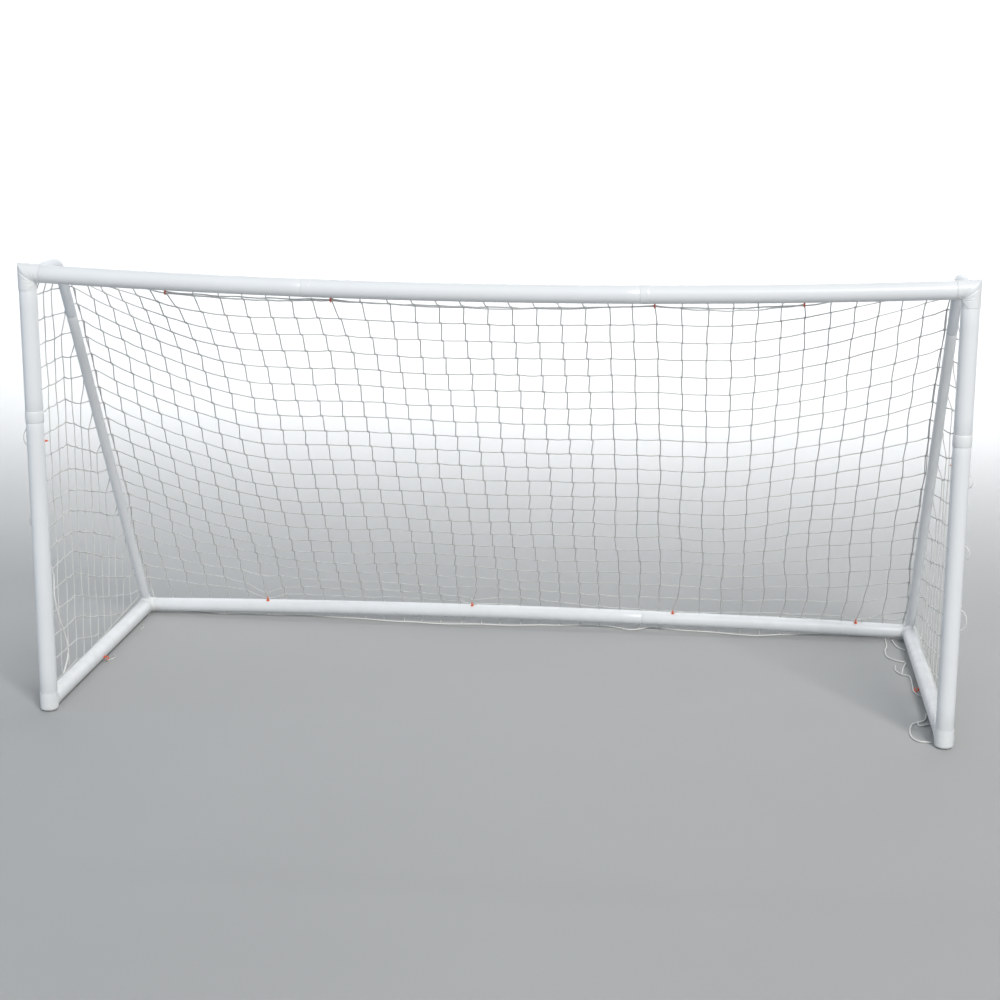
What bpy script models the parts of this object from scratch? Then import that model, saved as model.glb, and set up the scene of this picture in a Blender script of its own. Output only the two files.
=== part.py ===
"""A portable goal, twelve feet wide and six feet high, of plug-together tubes with a hanging net.

Metres, +Z up. The ground is Z = 0, the mouth faces -Y, and left and right are as seen from the
front. The pieces are worked out with the posts at Y = 0, and an empty then carries them all so
that the origin lies under the middle of the whole goal.
"""

import math

import bmesh
import bpy
from mathutils import Matrix, Vector

# Frame, measured between the centre lines of its tubes
GOAL_WIDTH = 3.590
GOAL_HEIGHT = 1.785
GOAL_DEPTH = 1.400
STUB_DEPTH = 0.360
CROSSBAR_SAG = 0.045
REAR_BAR_RISE = 0.025

# Tubes
MAIN_DIAMETER = 0.070
MAIN_WALL = 0.0016
REAR_DIAMETER = 0.064
REAR_WALL = 0.0016
BRACE_DIAMETER = 0.043
BRACE_WALL = 0.0015
BEND_RADIUS = 0.095

# Where the sections part
CROSSBAR_LEFT_JOINT = -0.713
CROSSBAR_RIGHT_JOINT = 0.579
REAR_BAR_JOINT = 0.568
COLLAR_BOTTOM = 1.197
COLLAR_HEIGHT = 0.047
COLLAR_CHAMFER = 0.004
SIDE_JOINT_DEPTH = 0.520
ELBOW_LEG = 0.270
BELL_LENGTH = 0.030
BELL_GROWTH = 0.001
BELL_TAPER = 0.006

# Moulded fittings
FITTING_STEP = 0.0015
FITTING_WALL = 0.005
FITTING_CROSSBAR_ARM = 0.053
FITTING_POST_ARM = 0.066
FOOT_SOCKET_HEIGHT = 0.078
FOOT_REAR_ARM = 0.060
REAR_CORNER_SIDE_ARM = 0.051
REAR_CORNER_BAR_ARM = 0.042
REAR_CORNER_BRACE_ARM = 0.062
BRACE_STEP = 0.001
BLEND_STEP = 0.0004
STUB_BOSS_WALL = 0.004
STUB_BOSS_END = 0.085
STUB_SOCKET_FLOOR = 0.040
CORNER_CUT_REACH = 0.012
SPIGOT_LENGTH = 0.065
SPIGOT_WALL = 0.0031
COUPLER_LENGTH = 0.160
PAD_HEIGHT = 0.003
PAD_WIDTH = 0.034
PAD_HEEL_INSET = 0.018
PAD_SETBACK = 0.004
PAD_ROOT = 0.008
FOOT_SOLE_ROUND = 0.012

# Snap buttons
BUTTON_FROM_JOINT = 0.050
BUTTON_RADIUS = 0.0044
BUTTON_STAND = 0.003
BUTTON_EDGE = 0.0012
BUTTON_FLANGE = 0.0085
BUTTON_FLANGE_THICK = 0.0015
BRACE_BUTTON_RADIUS = 0.0034
BRACE_BUTTON_FLANGE = 0.0060

# Net hooks
CROSSBAR_HOOK_1 = -1.254
CROSSBAR_HOOK_2 = -0.605
CROSSBAR_HOOK_3 = 0.633
CROSSBAR_HOOK_4 = 1.190
REAR_BAR_HOOK_1 = -1.202
REAR_BAR_HOOK_2 = -0.226
REAR_BAR_HOOK_3 = 0.711
REAR_BAR_HOOK_4 = 1.549
POST_HOOK_BELOW_COLLAR = 0.083
SIDE_HOOK_BEHIND_JOINT = 0.100
CROSSBAR_HOOK_TILT = 20.0
REAR_HOOK_TILT = 22.0
POST_HOOK_TILT = 58.0
SIDE_HOOK_TILT = 20.0
HOOK_PEG_RADIUS = 0.0027
HOOK_PEG_LENGTH = 0.006
HOOK_FLANGE_RADIUS = 0.006
HOOK_FLANGE_THICK = 0.0015
HOOK_NECK_LENGTH = 0.003
HOOK_WIRE_RADIUS = 0.0019
HOOK_RING_RADIUS = 0.0070
HOOK_RING_SWEEP = 285.0

# Net
NET_CORD = 0.005
NET_COLUMNS = 12
NET_FLAT_INSET = 0.195
NET_ROWS_TO_BAR = 8
NET_ROWS_ON_STUB = 2
NET_SIDE_COLUMNS = 4
NET_SIDE_ROWS = 7
NET_INNER_INSET = 0.035
NET_EDGE_OUTSET = 0.030
NET_DRAPE = 0.350
NET_LIFT_RUN = 0.360
NET_LIFT_ANGLE = 130.0
NET_WRAP = 0.0425
NET_HEM_HEIGHT = 0.0045
SIDE_NET_RISE = 0.015
SIDE_NET_FRONT = 0.045

# Clearances between pieces, how far a cutter passes the face it cuts, and the welding of points
FACE_GAP = 0.0003
FIT_GAP = 0.0005
CUT_MARGIN = 0.004
WELD_DISTANCE = 0.00001
SHARP_ANGLE = 40.0

# Facets around the round pieces
MAIN_SIDES = 20
BRACE_SIDES = 16
INNER_SIDES = 16
SMALL_SIDES = 8
WIRE_SIDES = 6
BEND_STEPS = 5
RING_STEPS = 6
HEEL_STEPS = 4
BOW_STEP = 0.45

# Sizes that follow from the ones above
HALF_WIDTH = GOAL_WIDTH / 2
MAIN_RADIUS = MAIN_DIAMETER / 2
REAR_RADIUS = REAR_DIAMETER / 2
BRACE_RADIUS = BRACE_DIAMETER / 2
FITTING_RADIUS = MAIN_RADIUS + FITTING_STEP
MAIN_SPIGOT = MAIN_RADIUS - MAIN_WALL - FIT_GAP
REAR_SPIGOT = REAR_RADIUS - REAR_WALL - FIT_GAP
BRACE_SPIGOT = BRACE_RADIUS - BRACE_WALL - FIT_GAP
MAIN_BORE = MAIN_SPIGOT - SPIGOT_WALL
REAR_BORE = REAR_SPIGOT - SPIGOT_WALL
BRACE_BORE = BRACE_SPIGOT - BRACE_WALL
GROUND_LINE = PAD_HEIGHT + FITTING_RADIUS
COLLAR_TOP = COLLAR_BOTTOM + COLLAR_HEIGHT
NET_BACK = GOAL_DEPTH + FITTING_RADIUS + 2 * FACE_GAP + NET_CORD / 2
NET_SIDE = HALF_WIDTH + FITTING_RADIUS + FACE_GAP + NET_CORD / 2
MIDDLE_DEPTH = (NET_BACK + NET_CORD / 2 - FITTING_RADIUS) / 2
NET_FLAT_HALF = HALF_WIDTH - NET_FLAT_INSET
NET_INNER_COLUMN = HALF_WIDTH - NET_INNER_INSET
NET_EDGE_COLUMN = HALF_WIDTH + NET_EDGE_OUTSET
NET_LIFT_START = NET_INNER_COLUMN - NET_LIFT_RUN
SIDE_NET_TOP = GOAL_HEIGHT + SIDE_NET_RISE
SIDES = (("left", -1), ("right", 1))

UP = Vector((0, 0, 1))
BACK = Vector((0, 1, 0))
RIGHT = Vector((1, 0, 0))

# Colour, roughness and metallic value of each finish
FINISHES = {
    "coated_steel": ((0.84, 0.86, 0.88), 0.32, 0.0),
    "moulding": ((0.86, 0.87, 0.87), 0.40, 0.0),
    "inner_steel": ((0.55, 0.56, 0.58), 0.35, 1.0),
    "hook_plastic": ((0.80, 0.16, 0.07), 0.35, 0.0),
    "net_cord": ((0.80, 0.80, 0.78), 0.85, 0.0),
}


def clear_scene():
    """Remove what the new file holds."""
    for old in list(bpy.data.objects):
        bpy.data.objects.remove(old)


def new_collection(name):
    """Make a collection in the scene."""
    collection = bpy.data.collections.new(name)
    bpy.context.scene.collection.children.link(collection)
    return collection


clear_scene()
GOAL = new_collection("portable_goal")
CUTTERS = new_collection("cutters")


# Helpers for objects


def add_object(name, data, collection=None):
    """Put data into the scene, as a cutter unless a collection is named."""
    made = bpy.data.objects.new(name, data)
    (collection or CUTTERS).objects.link(made)
    if collection is None:
        made.hide_render = True
        made.display_type = "WIRE"
    return made


def finish(made, look):
    """Give one piece its own material."""
    colour, roughness, metallic = FINISHES[look]
    material = bpy.data.materials.new(made.name + "_finish")
    material.use_nodes = True
    shader = material.node_tree.nodes["Principled BSDF"]
    shader.inputs["Base Color"].default_value = (*colour, 1)
    shader.inputs["Roughness"].default_value = roughness
    shader.inputs["Metallic"].default_value = metallic
    made.data.materials.clear()
    made.data.materials.append(material)


def boolean(target, tool, operation):
    """Cut the tool from the target, or join it to the target."""
    step = target.modifiers.new(operation.lower(), "BOOLEAN")
    step.operation = operation
    step.solver = "EXACT"
    step.object = tool


def cut(target, tool):
    """Cut the tool's shape from the target."""
    boolean(target, tool, "DIFFERENCE")


def join(target, tool):
    """Join the tool's shape to the target."""
    boolean(target, tool, "UNION")


def as_mesh(drawn, collection=None):
    """Turn a curve object into a mesh object of the same name and place."""
    graph = bpy.context.evaluated_depsgraph_get()
    mesh = bpy.data.meshes.new_from_object(drawn.evaluated_get(graph))
    place = drawn.matrix_world.copy()
    name = drawn.name
    bpy.data.objects.remove(drawn)
    shape = bmesh.new()
    shape.from_mesh(mesh)
    bmesh.ops.remove_doubles(shape, verts=shape.verts, dist=WELD_DISTANCE)
    shape.to_mesh(mesh)
    shape.free()
    made = add_object(name, mesh, collection)
    made.matrix_world = place
    return made


def rod(name, start, end, radius, sides=MAIN_SIDES, collection=None):
    """A solid cylinder between two points."""
    axis = end - start
    place = Matrix.Translation((start + end) / 2) @ axis.to_track_quat("Z", "Y").to_matrix().to_4x4()
    shape = bmesh.new()
    bmesh.ops.create_cone(
        shape, cap_ends=True, segments=sides, radius1=radius, radius2=radius,
        depth=axis.length, matrix=place,
    )
    mesh = bpy.data.meshes.new(name)
    shape.to_mesh(mesh)
    shape.free()
    mesh.shade_smooth()
    mesh.set_sharp_from_angle(angle=math.radians(SHARP_ANGLE))
    return add_object(name, mesh, collection)


def block(name, low, high):
    """A solid box between two opposite corners."""
    size = high - low
    place = Matrix.Translation((low + high) / 2) @ Matrix.Diagonal((*size, 1))
    shape = bmesh.new()
    bmesh.ops.create_cube(shape, size=1, matrix=place)
    mesh = bpy.data.meshes.new(name)
    shape.to_mesh(mesh)
    shape.free()
    return add_object(name, mesh)


def drawn_line(name, points, radius, sides, scales=None, capped=True, collection=None):
    """A round line through points, with its thickness scaled at each point."""
    data = bpy.data.curves.new(name, "CURVE")
    data.dimensions = "3D"
    data.bevel_depth = radius
    data.bevel_resolution = sides // 2 - 2
    data.use_fill_caps = capped
    spline = data.splines.new("POLY")
    spline.points.add(len(points) - 1)
    for index, point in enumerate(points):
        spline.points[index].co = (*point, 1)
        spline.points[index].radius = scales[index] if scales else 1.0
    return add_object(name, data, collection)


def tube(name, points, radius, wall, sides=MAIN_SIDES, scales=None, look="coated_steel"):
    """A hollow tube, open at both ends, as a mesh that can be drilled."""
    drawn = drawn_line(name, points, radius, sides, scales, capped=False, collection=GOAL)
    shell = drawn.modifiers.new("wall", "SOLIDIFY")
    shell.thickness = wall
    shell.offset = -1
    shell.use_even_offset = True
    made = as_mesh(drawn, GOAL)
    made.data.shade_smooth()
    made.data.set_sharp_from_angle(angle=math.radians(SHARP_ANGLE))
    finish(made, look)
    return made


def turned(name, profile, sides, place, closed=False, collection=None):
    """A turned shape: the profile's radius and height pairs, spun about its own Z axis."""
    count = len(profile)
    edges = [(index, index + 1) for index in range(count - 1)]
    if closed:
        edges.append((count - 1, 0))
    mesh = bpy.data.meshes.new(name)
    mesh.from_pydata([(radius, 0, height) for radius, height in profile], edges, [])
    made = add_object(name, mesh, collection)
    spin = made.modifiers.new("turn", "SCREW")
    spin.steps = sides
    spin.render_steps = sides
    spin.use_merge_vertices = True
    spin.merge_threshold = WELD_DISTANCE
    made.matrix_world = place
    return made


def round_ended(name, centre, tip, radius, edge):
    """A solid arm from an end with a rounded edge to a flat tip, and its spigot for a main tube."""
    axis = tip - centre
    top = axis.length + SPIGOT_LENGTH
    profile = [(0, top), (MAIN_SPIGOT, top), (MAIN_SPIGOT, axis.length), (radius, axis.length)]
    flat = radius - edge
    for step in range(HEEL_STEPS + 1):
        angle = math.pi / 2 * step / HEEL_STEPS
        profile.append((flat + edge * math.cos(angle), -flat - edge * math.sin(angle)))
    profile[-1] = (flat, -radius)
    if flat > 0:
        profile.append((0, -radius))
    place = Matrix.Translation(centre) @ axis.to_track_quat("Z", "Y").to_matrix().to_4x4()
    return turned(name, profile, MAIN_SIDES, place, collection=GOAL)


def plate(name, outline, thickness, place):
    """A flat outline in its own XY plane, given a thickness about that plane."""
    data = bpy.data.curves.new(name, "CURVE")
    data.dimensions = "2D"
    data.fill_mode = "BOTH"
    data.extrude = thickness / 2
    spline = data.splines.new("POLY")
    spline.points.add(len(outline) - 1)
    for index, (across, along) in enumerate(outline):
        spline.points[index].co = (across, along, 0, 1)
    spline.use_cyclic_u = True
    drawn = add_object(name, data)
    drawn.matrix_world = place
    bpy.context.view_layer.update()
    return as_mesh(drawn)


def mitred_elbow(name, first_tip, corner, second_tip, radius, sides=MAIN_SIDES, collection=None):
    """Two round arms that meet in a sharp mitre at the corner."""
    shape = bmesh.new()
    bend_axis = (first_tip - corner).cross(second_tip - corner).normalized()
    mitre = ((first_tip - corner).normalized() - (second_tip - corner).normalized()).normalized()
    for tip in (first_tip, second_tip):
        along = (tip - corner).normalized()
        turn = Matrix((bend_axis, along.cross(bend_axis), along)).transposed().to_4x4()
        place = Matrix.Translation((tip + corner) / 2) @ turn
        length = (tip - corner).length
        arm = bmesh.ops.create_cone(
            shape, cap_ends=True, segments=sides, radius1=radius, radius2=radius,
            depth=length, matrix=place,
        )
        ring = [vert for vert in arm["verts"] if (vert.co - corner).dot(along) < length / 2]
        cap = [face for face in shape.faces if all(vert in ring for vert in face.verts)]
        bmesh.ops.delete(shape, geom=cap, context="FACES_ONLY")
        for vert in ring:
            vert.co += along * ((corner - vert.co).dot(mitre) / along.dot(mitre))
    bmesh.ops.remove_doubles(shape, verts=shape.verts, dist=WELD_DISTANCE)
    bmesh.ops.recalc_face_normals(shape, faces=shape.faces)
    mesh = bpy.data.meshes.new(name)
    shape.to_mesh(mesh)
    shape.free()
    mesh.shade_smooth()
    mesh.set_sharp_from_angle(angle=math.radians(SHARP_ANGLE))
    return add_object(name, mesh, collection)


# Centre lines of the frame


def bow(along):
    """Share of a bar's bow at a place along the goal's width: one in the middle, none at the posts."""
    return 1 - (along / HALF_WIDTH) ** 2


def crossbar_point(along):
    """The crossbar's centre line, which the net and the play in the joints let sag."""
    return Vector((along, 0, GOAL_HEIGHT - CROSSBAR_SAG * bow(along)))


def rear_bar_point(along):
    """The rear bar's centre line, which stands off the ground in the middle."""
    return Vector((along, GOAL_DEPTH, GROUND_LINE + REAR_BAR_RISE * bow(along)))


def top_corner_point(side):
    """Where the post, the crossbar and the rear stub meet."""
    return Vector((side * HALF_WIDTH, 0, GOAL_HEIGHT))


def elbow_point(side):
    """Where the stub's line meets the stanchion's."""
    return Vector((side * HALF_WIDTH, STUB_DEPTH, GOAL_HEIGHT))


def rear_corner_point(side):
    """Where the side bar, the rear bar and the stanchion meet."""
    return Vector((side * HALF_WIDTH, GOAL_DEPTH, GROUND_LINE))


BRACE_WAY = (rear_corner_point(1) - elbow_point(1)).normalized()
BRACE_OUT = RIGHT.cross(BRACE_WAY)


def bowed_points(line, start, end, start_plug, end_plug):
    """Points on a bowed bar's centre line, with one at the inner end of the plug at each end."""
    first = start + start_plug
    last = end - end_plug
    count = max(1, round((last - first) / BOW_STEP))
    inner = [first + (last - first) * index / count for index in range(count + 1)]
    return [line(along) for along in [start] + inner + [end]]


def coupler_points(line, joint):
    """The centre line of a coupler inside a bowed bar."""
    return [line(joint - COUPLER_LENGTH / 2), line(joint), line(joint + COUPLER_LENGTH / 2)]


def drill(pieces, name, foot, out, depth, radius):
    """One round hole through the named pieces, from a point on their axis outwards."""
    hole = rod(name, foot, foot + out * (depth + CUT_MARGIN), radius, SMALL_SIDES)
    for piece in pieces:
        cut(piece, hole)


# Tubes


def crossbar_section(name, start, end, belled, end_plug):
    """One crossbar section, with its left end belled where it slides over a coupler."""
    if not belled:
        points = bowed_points(crossbar_point, start, end, SPIGOT_LENGTH, end_plug)
        return tube(name, points, MAIN_RADIUS, MAIN_WALL)
    points = bowed_points(crossbar_point, start, end, COUPLER_LENGTH / 2, end_plug)
    mouth = points[0]
    way = (points[1] - mouth).normalized()
    bell = [mouth + way * BELL_LENGTH, mouth + way * (BELL_LENGTH + BELL_TAPER)]
    points = [mouth] + bell + points[1:]
    grown = 1 + BELL_GROWTH / MAIN_RADIUS
    scales = [grown, grown] + [1.0] * (len(points) - 2)
    return tube(name, points, MAIN_RADIUS, MAIN_WALL, scales=scales)


def make_crossbar():
    """Three sections and the two couplers inside them."""
    reach = HALF_WIDTH - FITTING_CROSSBAR_ARM - FACE_GAP
    first, second = CROSSBAR_LEFT_JOINT, CROSSBAR_RIGHT_JOINT
    half_gap = FACE_GAP / 2
    plug = COUPLER_LENGTH / 2
    left = crossbar_section("crossbar_left", -reach, first - half_gap, False, plug)
    middle = crossbar_section("crossbar_middle", first + half_gap, second - half_gap, True, plug)
    right = crossbar_section("crossbar_right", second + half_gap, reach, True, SPIGOT_LENGTH)
    couplers = {}
    for joint, piece, label in ((first, middle, "left"), (second, right, "right")):
        coupler = tube(
            f"crossbar_coupler_{label}", coupler_points(crossbar_point, joint),
            MAIN_SPIGOT, SPIGOT_WALL, INNER_SIDES, look="inner_steel",
        )
        couplers[joint] = coupler
        centre = crossbar_point(joint + BUTTON_FROM_JOINT)
        snap_button(f"crossbar_button_{label}", centre, BACK, [piece, coupler])
    return {"left": left, "middle": middle, "right": right}, couplers


def make_rear_bar():
    """Two sections and the coupler inside them."""
    reach = HALF_WIDTH - REAR_CORNER_BAR_ARM - FACE_GAP
    joint = REAR_BAR_JOINT
    half_gap = FACE_GAP / 2
    plug = COUPLER_LENGTH / 2
    left_points = bowed_points(rear_bar_point, -reach, joint - half_gap, SPIGOT_LENGTH, plug)
    right_points = bowed_points(rear_bar_point, joint + half_gap, reach, plug, SPIGOT_LENGTH)
    left = tube("rear_bar_left", left_points, REAR_RADIUS, REAR_WALL)
    right = tube("rear_bar_right", right_points, REAR_RADIUS, REAR_WALL)
    tube(
        "rear_bar_coupler", coupler_points(rear_bar_point, joint),
        REAR_SPIGOT, SPIGOT_WALL, INNER_SIDES, look="inner_steel",
    )
    return {"left": left, "right": right}


def make_posts(label, side):
    """Upper and lower post, and the collar that joins them."""
    foot = Vector((side * HALF_WIDTH, 0, 0))
    upper = tube(
        f"upper_post_{label}",
        [
            foot + UP * (COLLAR_TOP + FACE_GAP),
            foot + UP * (GOAL_HEIGHT - FITTING_POST_ARM - FACE_GAP),
        ],
        MAIN_RADIUS, MAIN_WALL,
    )
    lower = tube(
        f"lower_post_{label}",
        [foot + UP * (FOOT_SOCKET_HEIGHT + FACE_GAP), foot + UP * (COLLAR_BOTTOM - FACE_GAP)],
        MAIN_RADIUS, MAIN_WALL,
    )
    top = COLLAR_HEIGHT + SPIGOT_LENGTH
    profile = [
        (MAIN_SPIGOT, top),
        (MAIN_SPIGOT, COLLAR_HEIGHT),
        (FITTING_RADIUS - COLLAR_CHAMFER / 2, COLLAR_HEIGHT),
        (FITTING_RADIUS, COLLAR_HEIGHT - COLLAR_CHAMFER),
        (FITTING_RADIUS, 0),
        (MAIN_SPIGOT, 0),
        (MAIN_SPIGOT, -SPIGOT_LENGTH),
        (MAIN_BORE, -SPIGOT_LENGTH),
        (MAIN_BORE, top),
    ]
    collar = turned(
        f"post_collar_{label}", profile, MAIN_SIDES,
        Matrix.Translation(foot + UP * COLLAR_BOTTOM), closed=True, collection=GOAL,
    )
    finish(collar, "moulding")
    centre = foot + UP * (COLLAR_BOTTOM - BUTTON_FROM_JOINT)
    snap_button(f"post_button_{label}", centre, BACK, [lower, collar])
    hook_centre = foot + UP * (COLLAR_BOTTOM - POST_HOOK_BELOW_COLLAR)
    tilt = math.radians(POST_HOOK_TILT)
    out = Vector((-side * math.cos(tilt), math.sin(tilt), 0))
    net_hook(f"post_hook_{label}", hook_centre, out, UP, MAIN_RADIUS, [lower])


def make_side_bars(label, side):
    """Front and rear part of one side bar, and the coupler inside them."""
    line = Vector((side * HALF_WIDTH, 0, GROUND_LINE))
    front = tube(
        f"front_side_bar_{label}",
        [line + BACK * (FOOT_REAR_ARM + FACE_GAP), line + BACK * (SIDE_JOINT_DEPTH - FACE_GAP / 2)],
        MAIN_RADIUS, MAIN_WALL,
    )
    rear = tube(
        f"rear_side_bar_{label}",
        [
            line + BACK * (SIDE_JOINT_DEPTH + FACE_GAP / 2),
            line + BACK * (GOAL_DEPTH - REAR_CORNER_SIDE_ARM - FACE_GAP),
        ],
        MAIN_RADIUS, MAIN_WALL,
    )
    coupler = tube(
        f"side_bar_coupler_{label}",
        [
            line + BACK * (SIDE_JOINT_DEPTH - COUPLER_LENGTH / 2),
            line + BACK * (SIDE_JOINT_DEPTH + COUPLER_LENGTH / 2),
        ],
        MAIN_SPIGOT, SPIGOT_WALL, INNER_SIDES, look="inner_steel",
    )
    centre = line + BACK * (SIDE_JOINT_DEPTH - BUTTON_FROM_JOINT)
    snap_button(f"side_bar_button_{label}", centre, RIGHT * side, [front, coupler])
    tilt = math.radians(SIDE_HOOK_TILT)
    out = Vector((-side * math.cos(tilt), 0, -math.sin(tilt)))
    hook_centre = line + BACK * (SIDE_JOINT_DEPTH + SIDE_HOOK_BEHIND_JOINT)
    net_hook(f"side_bar_hook_{label}", hook_centre, out, BACK, MAIN_RADIUS, [rear])


def make_brace(label, side):
    """The bent rear tube and the straight stanchion that plugs on to it."""
    corner = top_corner_point(side)
    turn_point = elbow_point(side)
    angle = BACK.angle(BRACE_WAY)
    tangent = BEND_RADIUS * math.tan(angle / 2)
    bend_start = turn_point - BACK * tangent
    bend_centre = bend_start - UP * BEND_RADIUS
    points = [corner + BACK * (STUB_SOCKET_FLOOR + FACE_GAP)]
    for step in range(BEND_STEPS + 1):
        turned_by = angle * step / BEND_STEPS
        points.append(bend_centre + (UP * math.cos(turned_by) + BACK * math.sin(turned_by)) * BEND_RADIUS)
    neck = turn_point + BRACE_WAY * ELBOW_LEG
    points += [neck - BRACE_WAY * BELL_TAPER, neck, neck + BRACE_WAY * SPIGOT_LENGTH]
    narrowed = BRACE_SPIGOT / BRACE_RADIUS
    scales = [1.0] * (len(points) - 2) + [narrowed, narrowed]
    elbow = tube(f"rear_elbow_{label}", points, BRACE_RADIUS, BRACE_WALL, BRACE_SIDES, scales)
    stanchion = tube(
        f"stanchion_{label}",
        [
            neck + BRACE_WAY * FACE_GAP,
            rear_corner_point(side) - BRACE_WAY * (REAR_CORNER_BRACE_ARM + FACE_GAP),
        ],
        BRACE_RADIUS, BRACE_WALL, BRACE_SIDES,
    )
    centre = neck + BRACE_WAY * (SPIGOT_LENGTH / 2)
    snap_button(f"stanchion_button_{label}", centre, RIGHT * side, [elbow, stanchion], brace=True)


# Moulded fittings


def ground_pad(name, line, start, end):
    """The flat pad under a ground fitting."""
    low = line + Vector((-PAD_WIDTH / 2, start, 0))
    high = line + Vector((PAD_WIDTH / 2, end, PAD_ROOT))
    return block(name, low, high)


def make_top_corner(label, side):
    """Corner fitting: crossbar arm, post arm and the rear socket for the stub."""
    corner = top_corner_point(side)
    cross_tip = crossbar_point(side * (HALF_WIDTH - FITTING_CROSSBAR_ARM))
    post_tip = corner - UP * FITTING_POST_ARM
    name = f"top_corner_{label}"
    cross_way = (cross_tip - corner).normalized()
    lip = FACE_GAP
    made = mitred_elbow(
        name, cross_tip - cross_way * lip, corner, post_tip + UP * lip, FITTING_RADIUS,
        collection=GOAL,
    )
    # The sleeve is cut away at an angle on the inner side of the post arm
    inner = FITTING_RADIUS + BLEND_STEP
    below = FITTING_POST_ARM + CUT_MARGIN
    wedge = [(-inner, -inner - FITTING_STEP), (-CORNER_CUT_REACH, -below), (-inner, -below)]
    facing = Matrix((RIGHT * side, UP, BACK * -side)).transposed().to_4x4()
    cut(made, plate(name + "_cut", wedge, MAIN_DIAMETER * 2, Matrix.Translation(corner) @ facing))
    join(made, mitred_elbow(name + "_core", cross_tip, corner, post_tip, MAIN_RADIUS))
    cross_plug = crossbar_point(side * (HALF_WIDTH - FITTING_CROSSBAR_ARM - SPIGOT_LENGTH))
    post_plug = post_tip - UP * SPIGOT_LENGTH
    cross_root = cross_tip - cross_way * FITTING_WALL
    post_root = post_tip + UP * FITTING_WALL
    join(made, rod(name + "_cross_spigot", cross_root, cross_plug, MAIN_SPIGOT, INNER_SIDES))
    join(made, rod(name + "_post_spigot", post_root, post_plug, MAIN_SPIGOT, INNER_SIDES))
    boss = BRACE_RADIUS + FIT_GAP + STUB_BOSS_WALL
    boss_root = corner + BACK * (MAIN_BORE + BLEND_STEP)
    join(made, rod(name + "_boss", boss_root, corner + BACK * STUB_BOSS_END, boss))
    cut(made, rod(
        name + "_socket", corner + BACK * STUB_SOCKET_FLOOR,
        corner + BACK * (STUB_BOSS_END + CUT_MARGIN), BRACE_RADIUS + FIT_GAP,
    ))
    cut(made, mitred_elbow(
        name + "_bore", cross_plug + cross_way * CUT_MARGIN, corner, post_plug - UP * CUT_MARGIN,
        MAIN_BORE, INNER_SIDES,
    ))
    finish(made, "moulding")


def make_front_foot(label, side):
    """Front foot: post socket above, side-bar socket behind, round-edged sole and flat pad."""
    heel = Vector((side * HALF_WIDTH, 0, GROUND_LINE))
    top = Vector((side * HALF_WIDTH, 0, FOOT_SOCKET_HEIGHT))
    name = f"front_foot_{label}"
    made = round_ended(name, heel, top, FITTING_RADIUS, FOOT_SOLE_ROUND)
    rear_tip = heel + BACK * FOOT_REAR_ARM
    join(made, rod(name + "_arm", heel, rear_tip, FITTING_RADIUS - BLEND_STEP))
    post_plug = top + UP * SPIGOT_LENGTH
    rear_plug = rear_tip + BACK * SPIGOT_LENGTH
    rear_root = rear_tip - BACK * FITTING_WALL
    join(made, rod(name + "_bar_spigot", rear_root, rear_plug, MAIN_SPIGOT, INNER_SIDES))
    pad_line = Vector((heel.x, 0, 0))
    pad_front = PAD_HEEL_INSET - FITTING_RADIUS
    join(made, ground_pad(name + "_pad", pad_line, pad_front, FOOT_REAR_ARM - PAD_SETBACK))
    cut(made, rod(name + "_post_bore", heel, post_plug + UP * CUT_MARGIN, MAIN_BORE, INNER_SIDES))
    cut(made, rod(name + "_bar_bore", heel, rear_plug + BACK * CUT_MARGIN, MAIN_BORE, INNER_SIDES))
    finish(made, "moulding")


def make_rear_corner(label, side):
    """Rear corner: side-bar, rear-bar and stanchion arms, and a flat pad."""
    centre = rear_corner_point(side)
    name = f"rear_corner_{label}"
    side_tip = centre - BACK * REAR_CORNER_SIDE_ARM
    bar_tip = rear_bar_point(side * (HALF_WIDTH - REAR_CORNER_BAR_ARM))
    brace_tip = centre - BRACE_WAY * REAR_CORNER_BRACE_ARM
    bar_way = (bar_tip - centre).normalized()
    made = round_ended(name, centre, side_tip, FITTING_RADIUS, FITTING_RADIUS)
    join(made, rod(name + "_bar_arm", centre, bar_tip, REAR_RADIUS + FITTING_STEP))
    join(made, rod(name + "_brace_arm", centre, brace_tip, BRACE_RADIUS + BRACE_STEP, BRACE_SIDES))
    side_plug = side_tip - BACK * SPIGOT_LENGTH
    bar_plug = rear_bar_point(side * (HALF_WIDTH - REAR_CORNER_BAR_ARM - SPIGOT_LENGTH))
    brace_plug = brace_tip - BRACE_WAY * SPIGOT_LENGTH
    bar_root = bar_tip - bar_way * FITTING_WALL
    brace_root = brace_tip + BRACE_WAY * FITTING_WALL
    join(made, rod(name + "_bar_spigot", bar_root, bar_plug, REAR_SPIGOT, INNER_SIDES))
    join(made, rod(name + "_brace_spigot", brace_root, brace_plug, BRACE_SPIGOT, INNER_SIDES))
    pad_line = Vector((centre.x, centre.y, 0))
    pad_rear = FITTING_RADIUS - PAD_HEEL_INSET
    join(made, ground_pad(name + "_pad", pad_line, PAD_SETBACK - REAR_CORNER_SIDE_ARM, pad_rear))
    cut(made, rod(name + "_side_bore", centre, side_plug - BACK * CUT_MARGIN, MAIN_BORE, INNER_SIDES))
    cut(made, rod(name + "_bar_bore", centre, bar_plug + bar_way * CUT_MARGIN, REAR_BORE, INNER_SIDES))
    brace_end = brace_plug - BRACE_WAY * CUT_MARGIN
    cut(made, rod(name + "_brace_bore", centre, brace_end, BRACE_BORE, INNER_SIDES))
    finish(made, "moulding")


# Snap buttons


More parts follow.
